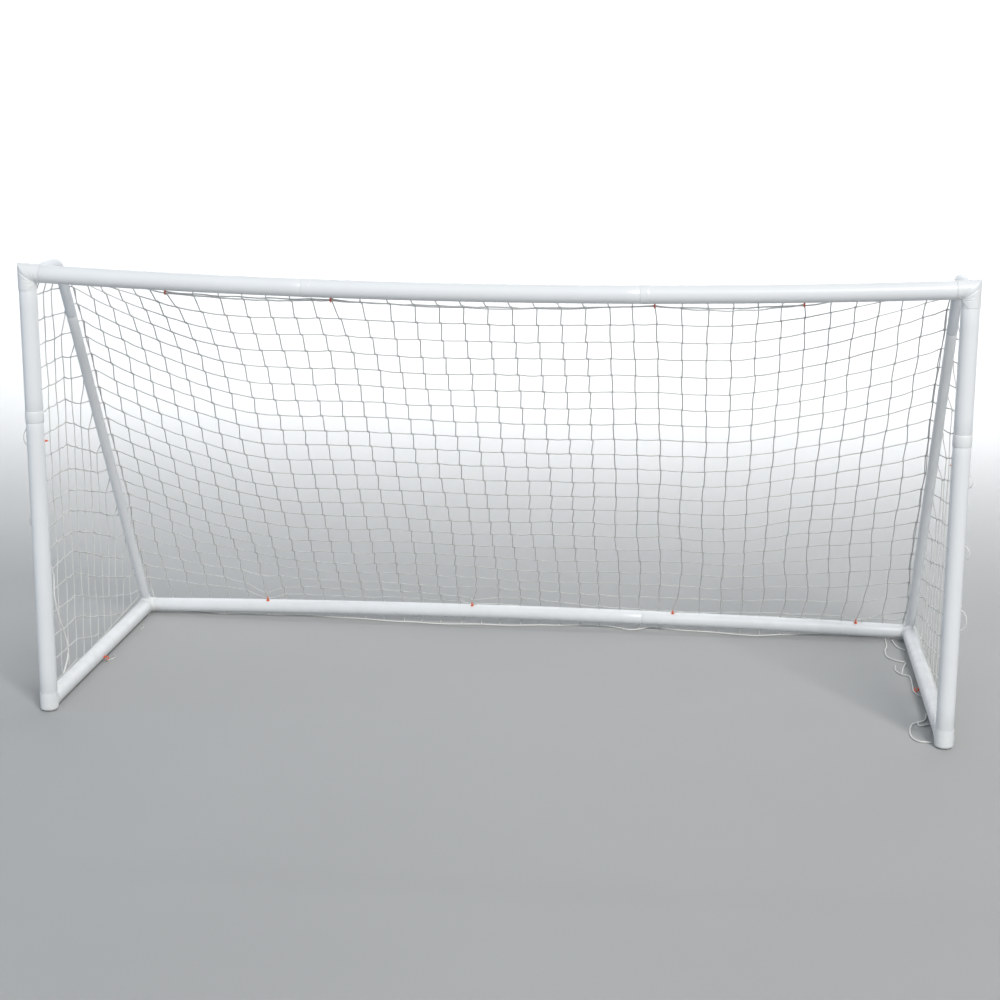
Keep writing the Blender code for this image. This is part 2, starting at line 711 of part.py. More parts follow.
def snap_button(name, centre, out, pieces, brace=False):
    """A sprung button through two tubes, with its flange inside, and the holes that it needs."""
    outer = BRACE_RADIUS if brace else MAIN_RADIUS
    bore = BRACE_BORE if brace else MAIN_BORE
    radius = BRACE_BUTTON_RADIUS if brace else BUTTON_RADIUS
    flange = BRACE_BUTTON_FLANGE if brace else BUTTON_FLANGE
    sides = BRACE_SIDES if brace else MAIN_SIDES
    drill(pieces, name + "_hole", centre, out, outer, radius + FIT_GAP)
    flat_bore = bore * math.cos(math.pi / sides) - FACE_GAP
    seat = math.sqrt(flat_bore ** 2 - flange ** 2)
    tip = outer + BUTTON_STAND
    profile = [
        (0, tip - outer),
        (radius - BUTTON_EDGE, tip - outer),
        (radius, tip - BUTTON_EDGE - outer),
        (radius, seat - outer),
        (flange, seat - outer),
        (flange, seat - BUTTON_FLANGE_THICK - outer),
        (0, seat - BUTTON_FLANGE_THICK - outer),
    ]
    turn = out.to_track_quat("Z", "Y").to_matrix().to_4x4()
    place = Matrix.Translation(centre + out * outer) @ turn
    made = turned(name, profile, SMALL_SIDES, place, collection=GOAL)
    finish(made, "inner_steel")


# Net hooks


def net_hook(name, centre, out, cord_way, radius, pieces):
    """A plastic hook pegged into a tube, its ring open to one side of the cord that it holds."""
    drill(pieces, name + "_hole", centre, out, radius, HOOK_PEG_RADIUS + FIT_GAP)
    base = FACE_GAP
    profile = [
        (0, base + HOOK_FLANGE_THICK),
        (HOOK_FLANGE_RADIUS, base + HOOK_FLANGE_THICK),
        (HOOK_FLANGE_RADIUS, base),
        (HOOK_PEG_RADIUS, base),
        (HOOK_PEG_RADIUS, -HOOK_PEG_LENGTH),
        (0, -HOOK_PEG_LENGTH),
    ]
    across = out.cross(cord_way)
    turn = Matrix((cord_way, across, out)).transposed()
    if turn.determinant() < 0:
        turn = Matrix((-cord_way, across, out)).transposed()
    place = Matrix.Translation(centre + out * radius) @ turn.to_4x4()
    made = turned(name, profile, SMALL_SIDES, place, collection=GOAL)
    ring_height = hook_ring_height()
    points = [Vector((0, 0, base + HOOK_FLANGE_THICK / 2))]
    for step in range(RING_STEPS + 1):
        swept = math.radians(HOOK_RING_SWEEP) * step / RING_STEPS
        points.append(Vector((
            0, HOOK_RING_RADIUS * math.sin(swept), ring_height - HOOK_RING_RADIUS * math.cos(swept),
        )))
    wire = drawn_line(name + "_ring", points, HOOK_WIRE_RADIUS, WIRE_SIDES)
    wire.matrix_world = place
    bpy.context.view_layer.update()
    join(made, as_mesh(wire))
    finish(made, "hook_plastic")


def hook_ring_height():
    """Height of a hook ring's centre over its tube."""
    return FACE_GAP + HOOK_FLANGE_THICK + HOOK_NECK_LENGTH + HOOK_WIRE_RADIUS / 2 + HOOK_RING_RADIUS


def make_crossbar_hooks(sections, couplers):
    """Four hooks under the rear of the crossbar, pegged through a coupler where one lies inside."""
    tilt = math.radians(CROSSBAR_HOOK_TILT)
    out = Vector((0, math.sin(tilt), -math.cos(tilt)))
    hooks = (CROSSBAR_HOOK_1, CROSSBAR_HOOK_2, CROSSBAR_HOOK_3, CROSSBAR_HOOK_4)
    for index, along in enumerate(hooks):
        if along < CROSSBAR_LEFT_JOINT:
            piece = sections["left"]
        elif along < CROSSBAR_RIGHT_JOINT:
            piece = sections["middle"]
        else:
            piece = sections["right"]
        pieces = [piece]
        for joint, coupler in couplers.items():
            if abs(along - joint) < COUPLER_LENGTH / 2 + HOOK_PEG_RADIUS:
                pieces.append(coupler)
        centre = crossbar_point(along)
        net_hook(f"crossbar_hook_{index + 1}", centre, out, RIGHT, MAIN_RADIUS, pieces)


def make_rear_bar_hooks(sections):
    """Four hooks on the upper front of the rear bar."""
    tilt = math.radians(REAR_HOOK_TILT)
    out = Vector((0, -math.sin(tilt), math.cos(tilt)))
    hooks = (REAR_BAR_HOOK_1, REAR_BAR_HOOK_2, REAR_BAR_HOOK_3, REAR_BAR_HOOK_4)
    for index, along in enumerate(hooks):
        piece = sections["left"] if along < REAR_BAR_JOINT else sections["right"]
        centre = rear_bar_point(along)
        net_hook(f"rear_bar_hook_{index + 1}", centre, out, RIGHT, REAR_RADIUS, [piece])


# Net


def net_border_point(along):
    """The net's head cord: through the hooks under the crossbar, and up over the stub at each end."""
    lift = min(1, max(0, (abs(along) - NET_LIFT_START) / (NET_INNER_COLUMN - NET_LIFT_START)))
    angle = math.radians(CROSSBAR_HOOK_TILT + (NET_LIFT_ANGLE - CROSSBAR_HOOK_TILT) * lift)
    rest = HOOK_RING_RADIUS - HOOK_WIRE_RADIUS - FACE_GAP - NET_CORD / 2
    reach = MAIN_RADIUS + hook_ring_height() + rest
    axis = crossbar_point(min(HALF_WIDTH, max(-HALF_WIDTH, along)))
    return Vector((along, reach * math.sin(angle), axis.z - reach * math.cos(angle)))


def net_bar_point(along):
    """Where the net turns down behind the rear bar."""
    axis = rear_bar_point(min(HALF_WIDTH, max(-HALF_WIDTH, along)))
    return Vector((along, axis.y, axis.z)) + BRACE_OUT * NET_WRAP


def net_side_path(along, row):
    """The net beside a stanchion: back over the stub, round the elbow and down its rear."""
    start = net_border_point(along)
    stand_off = BRACE_RADIUS + BRACE_STEP + FACE_GAP + NET_CORD / 2
    turn_point = Vector((along, STUB_DEPTH, GOAL_HEIGHT)) + BRACE_OUT * stand_off
    rise = (start.z - turn_point.z) / BRACE_WAY.z
    turn_point += BRACE_WAY * rise
    if row <= NET_ROWS_ON_STUB:
        return start.lerp(turn_point, row / NET_ROWS_ON_STUB)
    share = (row - NET_ROWS_ON_STUB) / (NET_ROWS_TO_BAR - NET_ROWS_ON_STUB)
    return turn_point.lerp(net_bar_point(along), share)


def back_net_point(along, row):
    """A knot of the back net, counted from the head cord down."""
    if row == NET_ROWS_TO_BAR + 2:
        return Vector((along, NET_BACK, NET_HEM_HEIGHT))
    if row == NET_ROWS_TO_BAR + 1:
        return Vector((along, NET_BACK, GROUND_LINE))
    straight = net_border_point(along).lerp(net_bar_point(along), row / NET_ROWS_TO_BAR)
    edge = math.copysign(NET_INNER_COLUMN, along) if along else NET_INNER_COLUMN
    beside = net_side_path(edge, row)
    if abs(along) >= NET_INNER_COLUMN:
        return Vector((along, beside.y, beside.z))
    if row in (0, NET_ROWS_TO_BAR):
        return straight
    pull = math.exp((abs(along) - NET_INNER_COLUMN) / NET_DRAPE)
    at_edge = net_border_point(edge).lerp(net_bar_point(edge), row / NET_ROWS_TO_BAR)
    offset = (beside - at_edge) * pull
    return Vector((along, straight.y + offset.y, straight.z + offset.z))


def knotted(name, columns, rows, knot):
    """A net: a grid whose knots are placed by a function, with a cord along each edge."""
    shape = bmesh.new()
    bmesh.ops.create_grid(shape, x_segments=columns, y_segments=rows, size=0.5)
    for vert in shape.verts:
        vert.co = knot(round((vert.co.x + 0.5) * columns), round((0.5 - vert.co.y) * rows))
    mesh = bpy.data.meshes.new(name)
    shape.to_mesh(mesh)
    shape.free()
    made = add_object(name, mesh, GOAL)
    cords = made.modifiers.new("cords", "WIREFRAME")
    cords.thickness = NET_CORD
    cords.use_boundary = True
    cords.use_replace = True
    cords.use_even_offset = False
    finish(made, "net_cord")
    return made


def make_back_net():
    """The net from the crossbar to the rear bar."""
    step = 2 * NET_FLAT_HALF / NET_COLUMNS
    columns = [-NET_EDGE_COLUMN, -NET_INNER_COLUMN]
    columns += [-NET_FLAT_HALF + step * index for index in range(NET_COLUMNS + 1)]
    columns += [NET_INNER_COLUMN, NET_EDGE_COLUMN]
    knotted(
        "back_net", len(columns) - 1, NET_ROWS_TO_BAR + 2,
        lambda column, row: back_net_point(columns[column], row),
    )


def make_side_net(label, side):
    """The net outside one side of the frame, from the post to the stanchion."""
    stand_off = BRACE_RADIUS + BRACE_STEP + FACE_GAP + NET_CORD / 2
    behind = rear_corner_point(side) + BRACE_OUT * stand_off

    def knot(column, row):
        height = SIDE_NET_TOP + (NET_HEM_HEIGHT - SIDE_NET_TOP) * row / NET_SIDE_ROWS
        rear = behind.y + (height - behind.z) * BRACE_WAY.y / BRACE_WAY.z
        depth = SIDE_NET_FRONT + (min(rear, NET_BACK) - SIDE_NET_FRONT) * column / NET_SIDE_COLUMNS
        return Vector((side * NET_SIDE, depth, height))

    knotted(f"side_net_{label}", NET_SIDE_COLUMNS, NET_SIDE_ROWS, knot)


def carry_all():
    """Hang every piece on one empty, so that the origin lies under the middle of the goal."""
    middle = bpy.data.objects.new("goal_middle", None)
    GOAL.objects.link(middle)
    for piece in list(GOAL.objects) + list(CUTTERS.objects):
        if piece is not middle:
            piece.parent = middle
    middle.location = (0, -MIDDLE_DEPTH, 0)
    bpy.context.view_layer.update()


crossbar_sections, crossbar_couplers = make_crossbar()
rear_bar_sections = make_rear_bar()
make_crossbar_hooks(crossbar_sections, crossbar_couplers)
make_rear_bar_hooks(rear_bar_sections)
for side_label, side_sign in SIDES:
    make_posts(side_label, side_sign)
    make_side_bars(side_label, side_sign)
    make_brace(side_label, side_sign)
    make_top_corner(side_label, side_sign)
    make_front_foot(side_label, side_sign)
    make_rear_corner(side_label, side_sign)
    make_side_net(side_label, side_sign)
make_back_net()
carry_all()
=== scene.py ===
"""Looks of a portable goal: satin tubes, moulded corners, snap buttons, hooks and a knotted net.

Points are written as in the part's source, with the posts at Y = 0, and Shape.made() moves them to
the frame's own origin. Metres, +Z up, the mouth faces -Y.
"""

import math

import bmesh
import bpy
import numpy as np
from mathutils import Matrix, Vector


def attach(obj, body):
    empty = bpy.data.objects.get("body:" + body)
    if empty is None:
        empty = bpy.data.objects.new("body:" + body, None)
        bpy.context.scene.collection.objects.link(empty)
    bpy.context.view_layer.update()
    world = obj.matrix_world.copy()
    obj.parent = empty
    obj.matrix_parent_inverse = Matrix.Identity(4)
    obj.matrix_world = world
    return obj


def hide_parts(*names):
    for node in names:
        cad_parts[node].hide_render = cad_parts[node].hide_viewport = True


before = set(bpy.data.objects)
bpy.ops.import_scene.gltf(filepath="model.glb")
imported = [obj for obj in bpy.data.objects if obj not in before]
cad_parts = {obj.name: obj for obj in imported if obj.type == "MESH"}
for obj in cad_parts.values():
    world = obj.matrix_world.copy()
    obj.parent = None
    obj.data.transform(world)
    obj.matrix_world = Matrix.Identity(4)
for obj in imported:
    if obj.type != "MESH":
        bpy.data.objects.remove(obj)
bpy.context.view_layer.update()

TAU = 2 * math.pi
# The frame's own origin lies this far behind the posts
MIDDLE_DEPTH = 0.7028
RNG = np.random.default_rng(11)

# The goal's own sizes, as in its source
HALF_WIDTH = 1.795
HEIGHT = 1.785
DEPTH = 1.400
STUB_DEPTH = 0.360
SAG = 0.045
REAR_RISE = 0.025
MAIN_R = 0.035
MAIN_WALL = 0.0016
REAR_R = 0.032
BRACE_R = 0.0215
BRACE_WALL = 0.0015
FITTING_R = 0.0365
GROUND_LINE = 0.0395
BEND_R = 0.095
CROSS_JOINTS = (-0.713, 0.579)
REAR_JOINT = 0.568
COLLAR_BOTTOM = 1.197
COLLAR_HEIGHT = 0.047
SIDE_JOINT = 0.520
ELBOW_LEG = 0.270
CROSS_ARM = 0.053
POST_ARM = 0.066
FOOT_TOP = 0.078
FOOT_ARM = 0.060
CORNER_SIDE_ARM = 0.051
CORNER_BAR_ARM = 0.042
CORNER_BRACE_ARM = 0.062
SPIGOT = 0.065
FACE_GAP = 0.0003
BUTTON_BACK = 0.050
CROSS_HOOKS = (-1.254, -0.605, 0.633, 1.190)
REAR_HOOKS = (-1.202, -0.226, 0.711, 1.549)
POST_HOOK_Z = 1.114
REAR_HOOK_TILT = math.radians(22)
POST_HOOK_TILT = math.radians(58)
SOLE_ROUND = 0.012
SIDE_HOOK_Y = 0.620
RING_HEIGHT = 0.01275
RING_R = 0.0076
NET_SIDE = 1.8343
NET_BACK = 1.4396
SIDES = (("left", -1), ("right", 1))
PLUG_GAP = 0.0005
PLUG_WALL = 0.0031
THIN_PLUG_WALL = 0.0025
MAIN_PLUG = MAIN_R - MAIN_WALL - PLUG_GAP
MAIN_BORE = MAIN_PLUG - PLUG_WALL
HALF_GAP = FACE_GAP / 2
# The radius of a button's hole, and how deep it is drilled from the tube's axis
BUTTON_HOLE = (0.0049, 0.05)
BRACE_HOLE = (0.0039, 0.04)
# The pads under feet and corners; their tops lie this far below the ground bars' axes
PAD_HALF_WIDTH = 0.017
PAD_TOP = 0.0315
GROOVE_WIDTH = 0.0008
MELT_CELL = 0.0017
# Ways of the pleats behind a foot's heel, in radians
HEEL_PLEATS = (-2.9, -2.55, -2.2, -1.85, -1.45)
# Pleats of a top corner: degrees, width, depth, and where each begins and ends
CORNER_PLEATS = (
    (143, 0.0026, 0.0017, 0.006, 0.078), (118, 0.0022, 0.0014, 0.008, 0.056),
    (160, 0.0022, 0.0014, 0.008, 0.050), (98, 0.0024, 0.0013, 0.006, 0.046),
    (178, 0.0022, 0.0012, 0.006, 0.040), (196, 0.0020, 0.0010, 0.006, 0.026),
    (76, 0.0020, 0.0010, 0.004, 0.026),
)

X = np.array((1.0, 0.0, 0.0))
Y = np.array((0.0, 1.0, 0.0))
Z = np.array((0.0, 0.0, 1.0))


def unit(v):
    """A vector of length one."""
    v = np.asarray(v, float)
    return v / np.linalg.norm(v)


def at(x, y, z):
    """A point, or a way, from its three values."""
    return np.array((x, y, z))


def beside(side, y=0.0, z=0.0):
    """A point in the plane of a post's and a side bar's axes."""
    return X * side * HALF_WIDTH + Y * y + Z * z


def slanted(tilt, first, second):
    """A way that is turned from the first way towards the second."""
    return first * math.cos(tilt) + second * math.sin(tilt)


def spokes(sides, first, second):
    """Spokes all round, that turn from one way to another."""
    turn = np.linspace(0, TAU, sides, endpoint=False)[:, None]
    return np.cos(turn) * first + np.sin(turn) * second


def bow(x):
    """Share of a bar's bow at a place along the width."""
    return 1 - (np.asarray(x, float) / HALF_WIDTH) ** 2


def crossbar_point(x):
    """A point on the crossbar's axis."""
    return at(x, 0.0, HEIGHT - SAG * bow(x))


def rear_bar_point(x):
    """A point on the rear bar's axis."""
    return at(x, DEPTH, GROUND_LINE + REAR_RISE * bow(x))


BRACE_WAY = unit((0, DEPTH - STUB_DEPTH, GROUND_LINE - HEIGHT))
BRACE_OUT = np.cross(X, BRACE_WAY)
BRACE_LENGTH = math.hypot(DEPTH - STUB_DEPTH, HEIGHT - GROUND_LINE)
BEND_ANGLE = math.acos(BRACE_WAY[1])
BEND_TANGENT = BEND_R * math.tan(BEND_ANGLE / 2)


# Meshes


def shade(mesh, sharp):
    """Smooth shading, with sharp edges above an angle in degrees."""
    mesh.shade_smooth()
    mesh.set_sharp_from_angle(angle=math.radians(sharp))


class Shape:
    """Rings and fans of points gathered into one mesh, with values that its material reads."""

    def __init__(self):
        self.points = []
        self.faces = []
        self.lay = []
        self.count = 0

    def add(self, points, faces, lay=None):
        points = np.asarray(points, float).reshape(-1, 3)
        self.points.append(points)
        self.lay.append(np.zeros((len(points), 3)) if lay is None else np.asarray(lay).reshape(-1, 3))
        start = self.count
        self.faces.extend([[corner + start for corner in face] for face in faces])
        self.count += len(points)

    def skin(self, rings, wrap=False, caps=True, lay=None):
        """A skin over rings with equal numbers of points."""
        rings = np.asarray(rings, float)
        rows, sides = rings.shape[:2]
        index = np.arange(rows * sides).reshape(rows, sides)
        first = index if wrap else index[:-1]
        after = np.roll(index, -1, axis=0) if wrap else index[1:]
        quads = np.stack([first, np.roll(first, -1, 1), np.roll(after, -1, 1), after], -1)
        faces = quads.reshape(-1, 4).tolist()
        if caps and not wrap:
            faces += [index[0][::-1].tolist(), index[-1].tolist()]
        self.add(rings, faces, lay)

    def made(self, name, sharp=40, lay_name=None):
        """The mesh object, at the frame's own origin."""
        points = np.vstack(self.points) - Y * MIDDLE_DEPTH
        mesh = bpy.data.meshes.new(name)
        mesh.from_pydata(points.tolist(), [], self.faces)
        if lay_name:
            values = mesh.attributes.new(lay_name, "FLOAT_VECTOR", "POINT")
            values.data.foreach_set("vector", np.vstack(self.lay).astype(np.float32).ravel())
        work = bmesh.new()
        work.from_mesh(mesh)
        bmesh.ops.recalc_face_normals(work, faces=work.faces)
        work.to_mesh(mesh)
        work.free()
        shade(mesh, sharp)
        obj = bpy.data.objects.new(name, mesh)
        bpy.context.scene.collection.objects.link(obj)
        return obj


def carried(points, first=None):
    """The ways of a line and a pair of normals that turn with it."""
    way = np.gradient(points, axis=0)
    way /= np.linalg.norm(way, axis=1)[:, None]
    if first is None:
        first = Z if abs(way[0][2]) < 0.9 else X
    normal = np.cross(way[0], first)
    normal /= np.linalg.norm(normal)
    normals = [normal]
    for step in way[1:]:
        normal = normal - step * (normal @ step)
        normal = normal / math.sqrt(normal @ normal)
        normals.append(normal)
    normals = np.array(normals)
    return way, normals, np.cross(way, normals)


def ring_set(points, radii, sides, first=None):
    """Rings of points about a line."""
    points = np.asarray(points, float)
    _, side, up = carried(points, first)
    radii = np.broadcast_to(np.asarray(radii, float), len(points))[:, None, None]
    return points[:, None] + radii * spokes(sides, side[:, None], up[:, None])


def smooth(points, spacing):
    """A smooth line through points, with at least two steps between them, of about the spacing."""
    points = np.asarray(points, float)
    gaps = np.linalg.norm(np.diff(points, axis=0), axis=1)
    keep = np.concatenate([[True], gaps > 1e-6])
    points = points[keep]
    gaps = gaps[keep[1:]]
    if len(points) < 3:
        count = max(2, int(math.ceil(gaps.sum() / spacing)))
        return points[0] + np.linspace(0, 1, count + 1)[:, None] * (points[-1] - points[0])
    slope = np.diff(points, axis=0) / gaps[:, None]
    inner = (points[2:] - points[:-2]) / (gaps[:-1] + gaps[1:])[:, None]
    slopes = np.vstack([slope[:1], inner, slope[-1:]])
    steps = np.maximum(2, np.ceil(gaps / spacing).astype(int))
    begin = np.repeat(np.arange(len(gaps)), steps)
    t = (np.arange(steps.sum()) - np.repeat(np.cumsum(steps) - steps, steps)) / steps[begin]
    t = t[:, None]
    width = gaps[begin][:, None]
    line = (1 + 2 * t) * (1 - t) ** 2 * points[begin] + t * (1 - t) ** 2 * width * slopes[begin]
    line += t ** 2 * (3 - 2 * t) * points[begin + 1] + t ** 2 * (t - 1) * width * slopes[begin + 1]
    return np.vstack([line, points[-1:]])


def lathe(shape, profile, base, axis, sides):
    """A closed turned shape; radius zero at an end of the profile closes it at the axis."""
    axis = unit(axis)
    side = unit(np.cross(axis, Z if abs(axis[2]) < 0.9 else X))
    around = spokes(sides, side, np.cross(axis, side))
    rings = [base + axis * height + around * radius for radius, height in profile if radius > 0]
    poles = [base + axis * height for radius, height in profile if radius <= 0]
    if not poles:
        shape.skin(rings, wrap=True)
        return
    shape.skin(rings, caps=False)
    # The rings' points were the last ones added, so their numbers count back from the poles
    fans = []
    for pole, ring in enumerate((-sides * len(rings), -sides)):
        fans += [[ring + corner, ring + (corner + 1) % sides, pole] for corner in range(sides)]
    shape.add([poles[0], poles[-1]], fans)


def take_out(objects):
    """Remove helper objects and their meshes."""
    for obj in objects:
        mesh = obj.data
        bpy.data.objects.remove(obj)
        bpy.data.meshes.remove(mesh)


def cut_with(obj, cutters):
    """Cut closed meshes from an object, for good."""
    for cutter in cutters:
        step = obj.modifiers.new("cut", "BOOLEAN")
        step.operation = "DIFFERENCE"
        step.solver = "EXACT"
        step.object = cutter
    graph = bpy.context.evaluated_depsgraph_get()
    mesh = bpy.data.meshes.new_from_object(obj.evaluated_get(graph))
    obj.modifiers.clear()
    old = obj.data
    obj.data = mesh
    bpy.data.meshes.remove(old)
    take_out(cutters)
    shade(obj.data, 40)


def settle(obj, material, nodes, body="frame"):
    """Give a piece its material and body, and hide the CAD nodes that it stands for."""
    obj.data.materials.clear()
    obj.data.materials.append(material)
    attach(obj, body)
    if nodes:
        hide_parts(*nodes)


# Materials


class Look:
    """A Principled material and short calls for its nodes."""

    def __init__(self, name):
        self.material = bpy.data.materials.new(name)
        self.material.use_nodes = True
        self.tree = self.material.node_tree
        self.shader = self.tree.nodes["Principled BSDF"]
        self.place = self.tree.nodes.new("ShaderNodeTexCoord").outputs["Object"]

    def node(self, kind, values=None, **settings):
        made = self.tree.nodes.new("ShaderNode" + kind)
        for key, value in settings.items():
            setattr(made, key, value)
        for key, value in (values or {}).items():
            self.feed(made.inputs[key], value)
        return made

    def feed(self, socket, value):
        if isinstance(value, bpy.types.NodeSocket):
            self.tree.links.new(value, socket)
        else:
            socket.default_value = value

    def noise(self, scale, detail=3.0, rough=0.55, scales=None):
        """Noise over the object's own places, squeezed by scales along its axes."""
        where = self.place
        if scales:
            where = self.node("Mapping", {"Vector": where, "Scale": scales}).outputs["Vector"]
        values = {"Vector": where, "Scale": scale, "Detail": detail, "Roughness": rough}
        return self.node("TexNoise", values).outputs["Fac"]

    def ramp(self, value, low, high, first=0.0, last=1.0):
        values = {"Value": value, "From Min": low, "From Max": high, "To Min": first, "To Max": last}
        return self.node("MapRange", values, interpolation_type="SMOOTHSTEP").outputs["Result"]

    def math(self, operation, first, second=0.0):
        made = self.node("Math", operation=operation)
        self.feed(made.inputs[0], first)
        self.feed(made.inputs[1], second)
        return made.outputs[0]

    def times(self, first, second):
        return self.math("MULTIPLY", first, second)

    def plus(self, first, second):
        return self.math("ADD", first, second)

    def mix(self, share, first, second):
        made = self.node("Mix", data_type="RGBA")
        self.feed(made.inputs[0], share)
        for number, value in ((6, first), (7, second)):
            linked = isinstance(value, bpy.types.NodeSocket)
            self.feed(made.inputs[number], value if linked else (*value, 1))
        return made.outputs[2]

    def cover(self, base, *layers):
        """A colour under thin layers, each with its share, strength and tint."""
        for share, strength, tint in layers:
            base = self.mix(self.times(share, strength), base, tint)
        return base

    def split(self, vector):
        return self.node("SeparateXYZ", {"Vector": vector}).outputs

    def near_floor(self, low, high, most=1.0):
        """A value that fades out with the height above the floor."""
        return self.ramp(self.split(self.place)[2], low, high, most, 0.0)

    def bumps(self, *layers):
        """Bumps over each other, each with its height, strength and distance."""
        normal = None
        for height, strength, distance in layers:
            values = {"Height": height, "Strength": strength, "Distance": distance}
            if normal is not None:
                values["Normal"] = normal
            normal = self.node("Bump", values).outputs["Normal"]
        self.set(Normal=normal)

    def set(self, **values):
        for key, value in values.items():
            self.feed(self.shader.inputs[key.replace("_", " ")], value)


def coated_look(name, tint, dirt, along):
    """White stove enamel: faint orange peel, fine scratches along the tube, dust low down."""
    look = Look(name)
    blotch = look.noise(19.0, 4.0, 0.6)
    scales = [260.0] * 3
    scales["xyz".index(along)] = 4.0
    hairs = look.ramp(look.noise(1.0, 3.0, 0.7, scales), 0.66, 0.74)
    scuffs = look.ramp(look.noise(34.0, 5.0, 0.72, (1.0, 1.3, 0.8)), 0.69, 0.76)
    dust = look.times(look.near_floor(0.012, 0.17), look.ramp(blotch, 0.34, 0.70))
    worn = (tint[0] * 0.975, tint[1] * 0.975, tint[2] * 0.97)
    base = look.cover(
        look.mix(look.ramp(look.noise(2.3), 0.35, 0.68), tint, worn),
        (look.ramp(blotch, 0.5, 0.78), 0.07, (0.73, 0.735, 0.72)), (dust, dirt, (0.47, 0.44, 0.37)),
        (scuffs, 0.05, (0.52, 0.52, 0.50)), (hairs, 0.07, (0.56, 0.56, 0.55)))
    rough = look.plus(look.ramp(blotch, 0.3, 0.8, 0.29, 0.34), look.times(hairs, 0.08))
    rough = look.plus(rough, look.times(dust, 0.25))
    look.set(Base_Color=base, Roughness=rough, Specular_IOR_Level=0.5)
    look.set(Coat_Weight=0.18, Coat_Roughness=0.16)
    look.bumps((look.noise(420.0, 2.0, 0.5), 0.10, 0.0006), (look.noise(1500.0, 2.0, 0.5), 0.05, 0.0002),
               (look.times(hairs, -1.0), 0.10, 0.0002))
    return look.material


def moulded_look():
    """White moulded plastic: spark-eroded skin, faint yellowing, soil in the low parts."""
    look = Look("moulded_white")
    cloud = look.noise(48.0, 5.0, 0.65)
    marks = look.ramp(look.noise(1.0, 4.0, 0.7, (300.0, 60.0, 90.0)), 0.68, 0.76)
    pits = look.node("TexVoronoi", {"Vector": look.place, "Scale": 700.0}).outputs["Distance"]
    soil = look.times(look.near_floor(0.004, 0.085), look.ramp(cloud, 0.34, 0.66))
    broad = look.ramp(look.noise(9.0, 4.0, 0.6), 0.36, 0.66)
    base = look.cover(
        look.mix(broad, (0.80, 0.812, 0.825), (0.78, 0.79, 0.795)),
        (look.ramp(cloud, 0.56, 0.76), 0.10, (0.64, 0.64, 0.62)), (soil, 0.16, (0.38, 0.36, 0.31)),
        (marks, 0.08, (0.50, 0.50, 0.49)))
    rough = look.plus(look.ramp(cloud, 0.3, 0.75, 0.40, 0.47), look.times(soil, 0.20))
    look.set(Base_Color=base, Roughness=rough, Specular_IOR_Level=0.45)
    look.set(Subsurface_Weight=0.04, Subsurface_Radius=(0.004, 0.004, 0.003))
    look.bumps((look.noise(1100.0, 3.0, 0.6), 0.16, 0.0003), (pits, 0.10, 0.0003), (marks, 0.12, 0.0003))
    return look.material


def zinc_look():
    """Bright zinc plate with its crystal patches, a little dull, with brown specks."""
    look = Look("zinc_plate")
    cells = look.node("TexVoronoi", {"Vector": look.place, "Scale": 160.0})
    tone = look.split(cells.outputs["Color"])[0]
    speck = look.noise(240.0, 4.0, 0.7)
    base = look.mix(look.ramp(tone, 0.0, 1.0), (0.56, 0.57, 0.585), (0.68, 0.69, 0.70))
    base = look.mix(look.ramp(speck, 0.70, 0.78), base, (0.30, 0.22, 0.15))
    look.set(Base_Color=base, Metallic=1.0, Roughness=look.ramp(tone, 0.0, 1.0, 0.26, 0.42))
    look.bumps((look.noise(1.0, 3.0, 0.6, (40.0, 900.0, 900.0)), 0.15, 0.0002))
    return look.material


def hook_look():
    """Orange-red moulded plastic, slightly translucent, with paler rubbed spots."""
    look = Look("hook_plastic_red")
    cloud = look.noise(220.0, 4.0, 0.6)
    rub = look.ramp(look.noise(640.0, 5.0, 0.7), 0.64, 0.74)
    base = look.mix(look.ramp(cloud, 0.35, 0.7), (0.74, 0.115, 0.045), (0.82, 0.20, 0.10))
    look.set(Base_Color=look.cover(base, (rub, 0.5, (0.90, 0.52, 0.42))))
    look.set(Roughness=look.ramp(cloud, 0.3, 0.7, 0.30, 0.46))
    look.set(Subsurface_Weight=0.12, Subsurface_Radius=(0.003, 0.001, 0.0006))
    look.bumps((look.noise(2600.0, 2.0, 0.5), 0.14, 0.0002))
    return look.material


def cord_look(name, light, pitch):
    """Laid polyethylene cord: three strands wind along it, with painted shade in the grooves between them,
    fuzz, soil and a grey shade.
    """
    look = Look(name)
    along, across, up = look.split(look.node("Attribute", attribute_name="lay").outputs["Vector"])
    angle = look.math("ARCTAN2", up, across)
    phase = look.plus(look.times(angle, 3.0), look.times(along, TAU / pitch))
    lay = look.math("POWER", look.math("ABSOLUTE", look.math("SINE", look.times(phase, 0.5))), 0.6)
    fibre = look.math("SINE", look.plus(look.times(phase, 4.0), look.times(angle, 5.0)))
    fuzz = look.noise(3200.0, 3.0, 0.7)
    soil = look.ramp(look.noise(7.0, 5.0, 0.65), 0.42, 0.75)
    # Painted shade: the colour drops to 60 % in the grooves where the strands dip, as if shaded there
    base = look.mix(lay, (light * 0.60, light * 0.60, light * 0.58), (light, light, light * 0.975))
    base = look.cover(base, (soil, 0.25, (light * 0.62, light * 0.60, light * 0.53)))
    base = look.mix(look.near_floor(0.0, 0.12, 0.10), base, (0.40, 0.40, 0.33))
    look.set(Base_Color=base, Roughness=look.ramp(fuzz, 0.3, 0.7, 0.55, 0.85))
    look.set(Sheen_Weight=0.25, Specular_IOR_Level=0.35)
    look.bumps((lay, 0.55, 0.0006), (fibre, 0.15, 0.0002), (fuzz, 0.20, 0.0002))
    return look.material


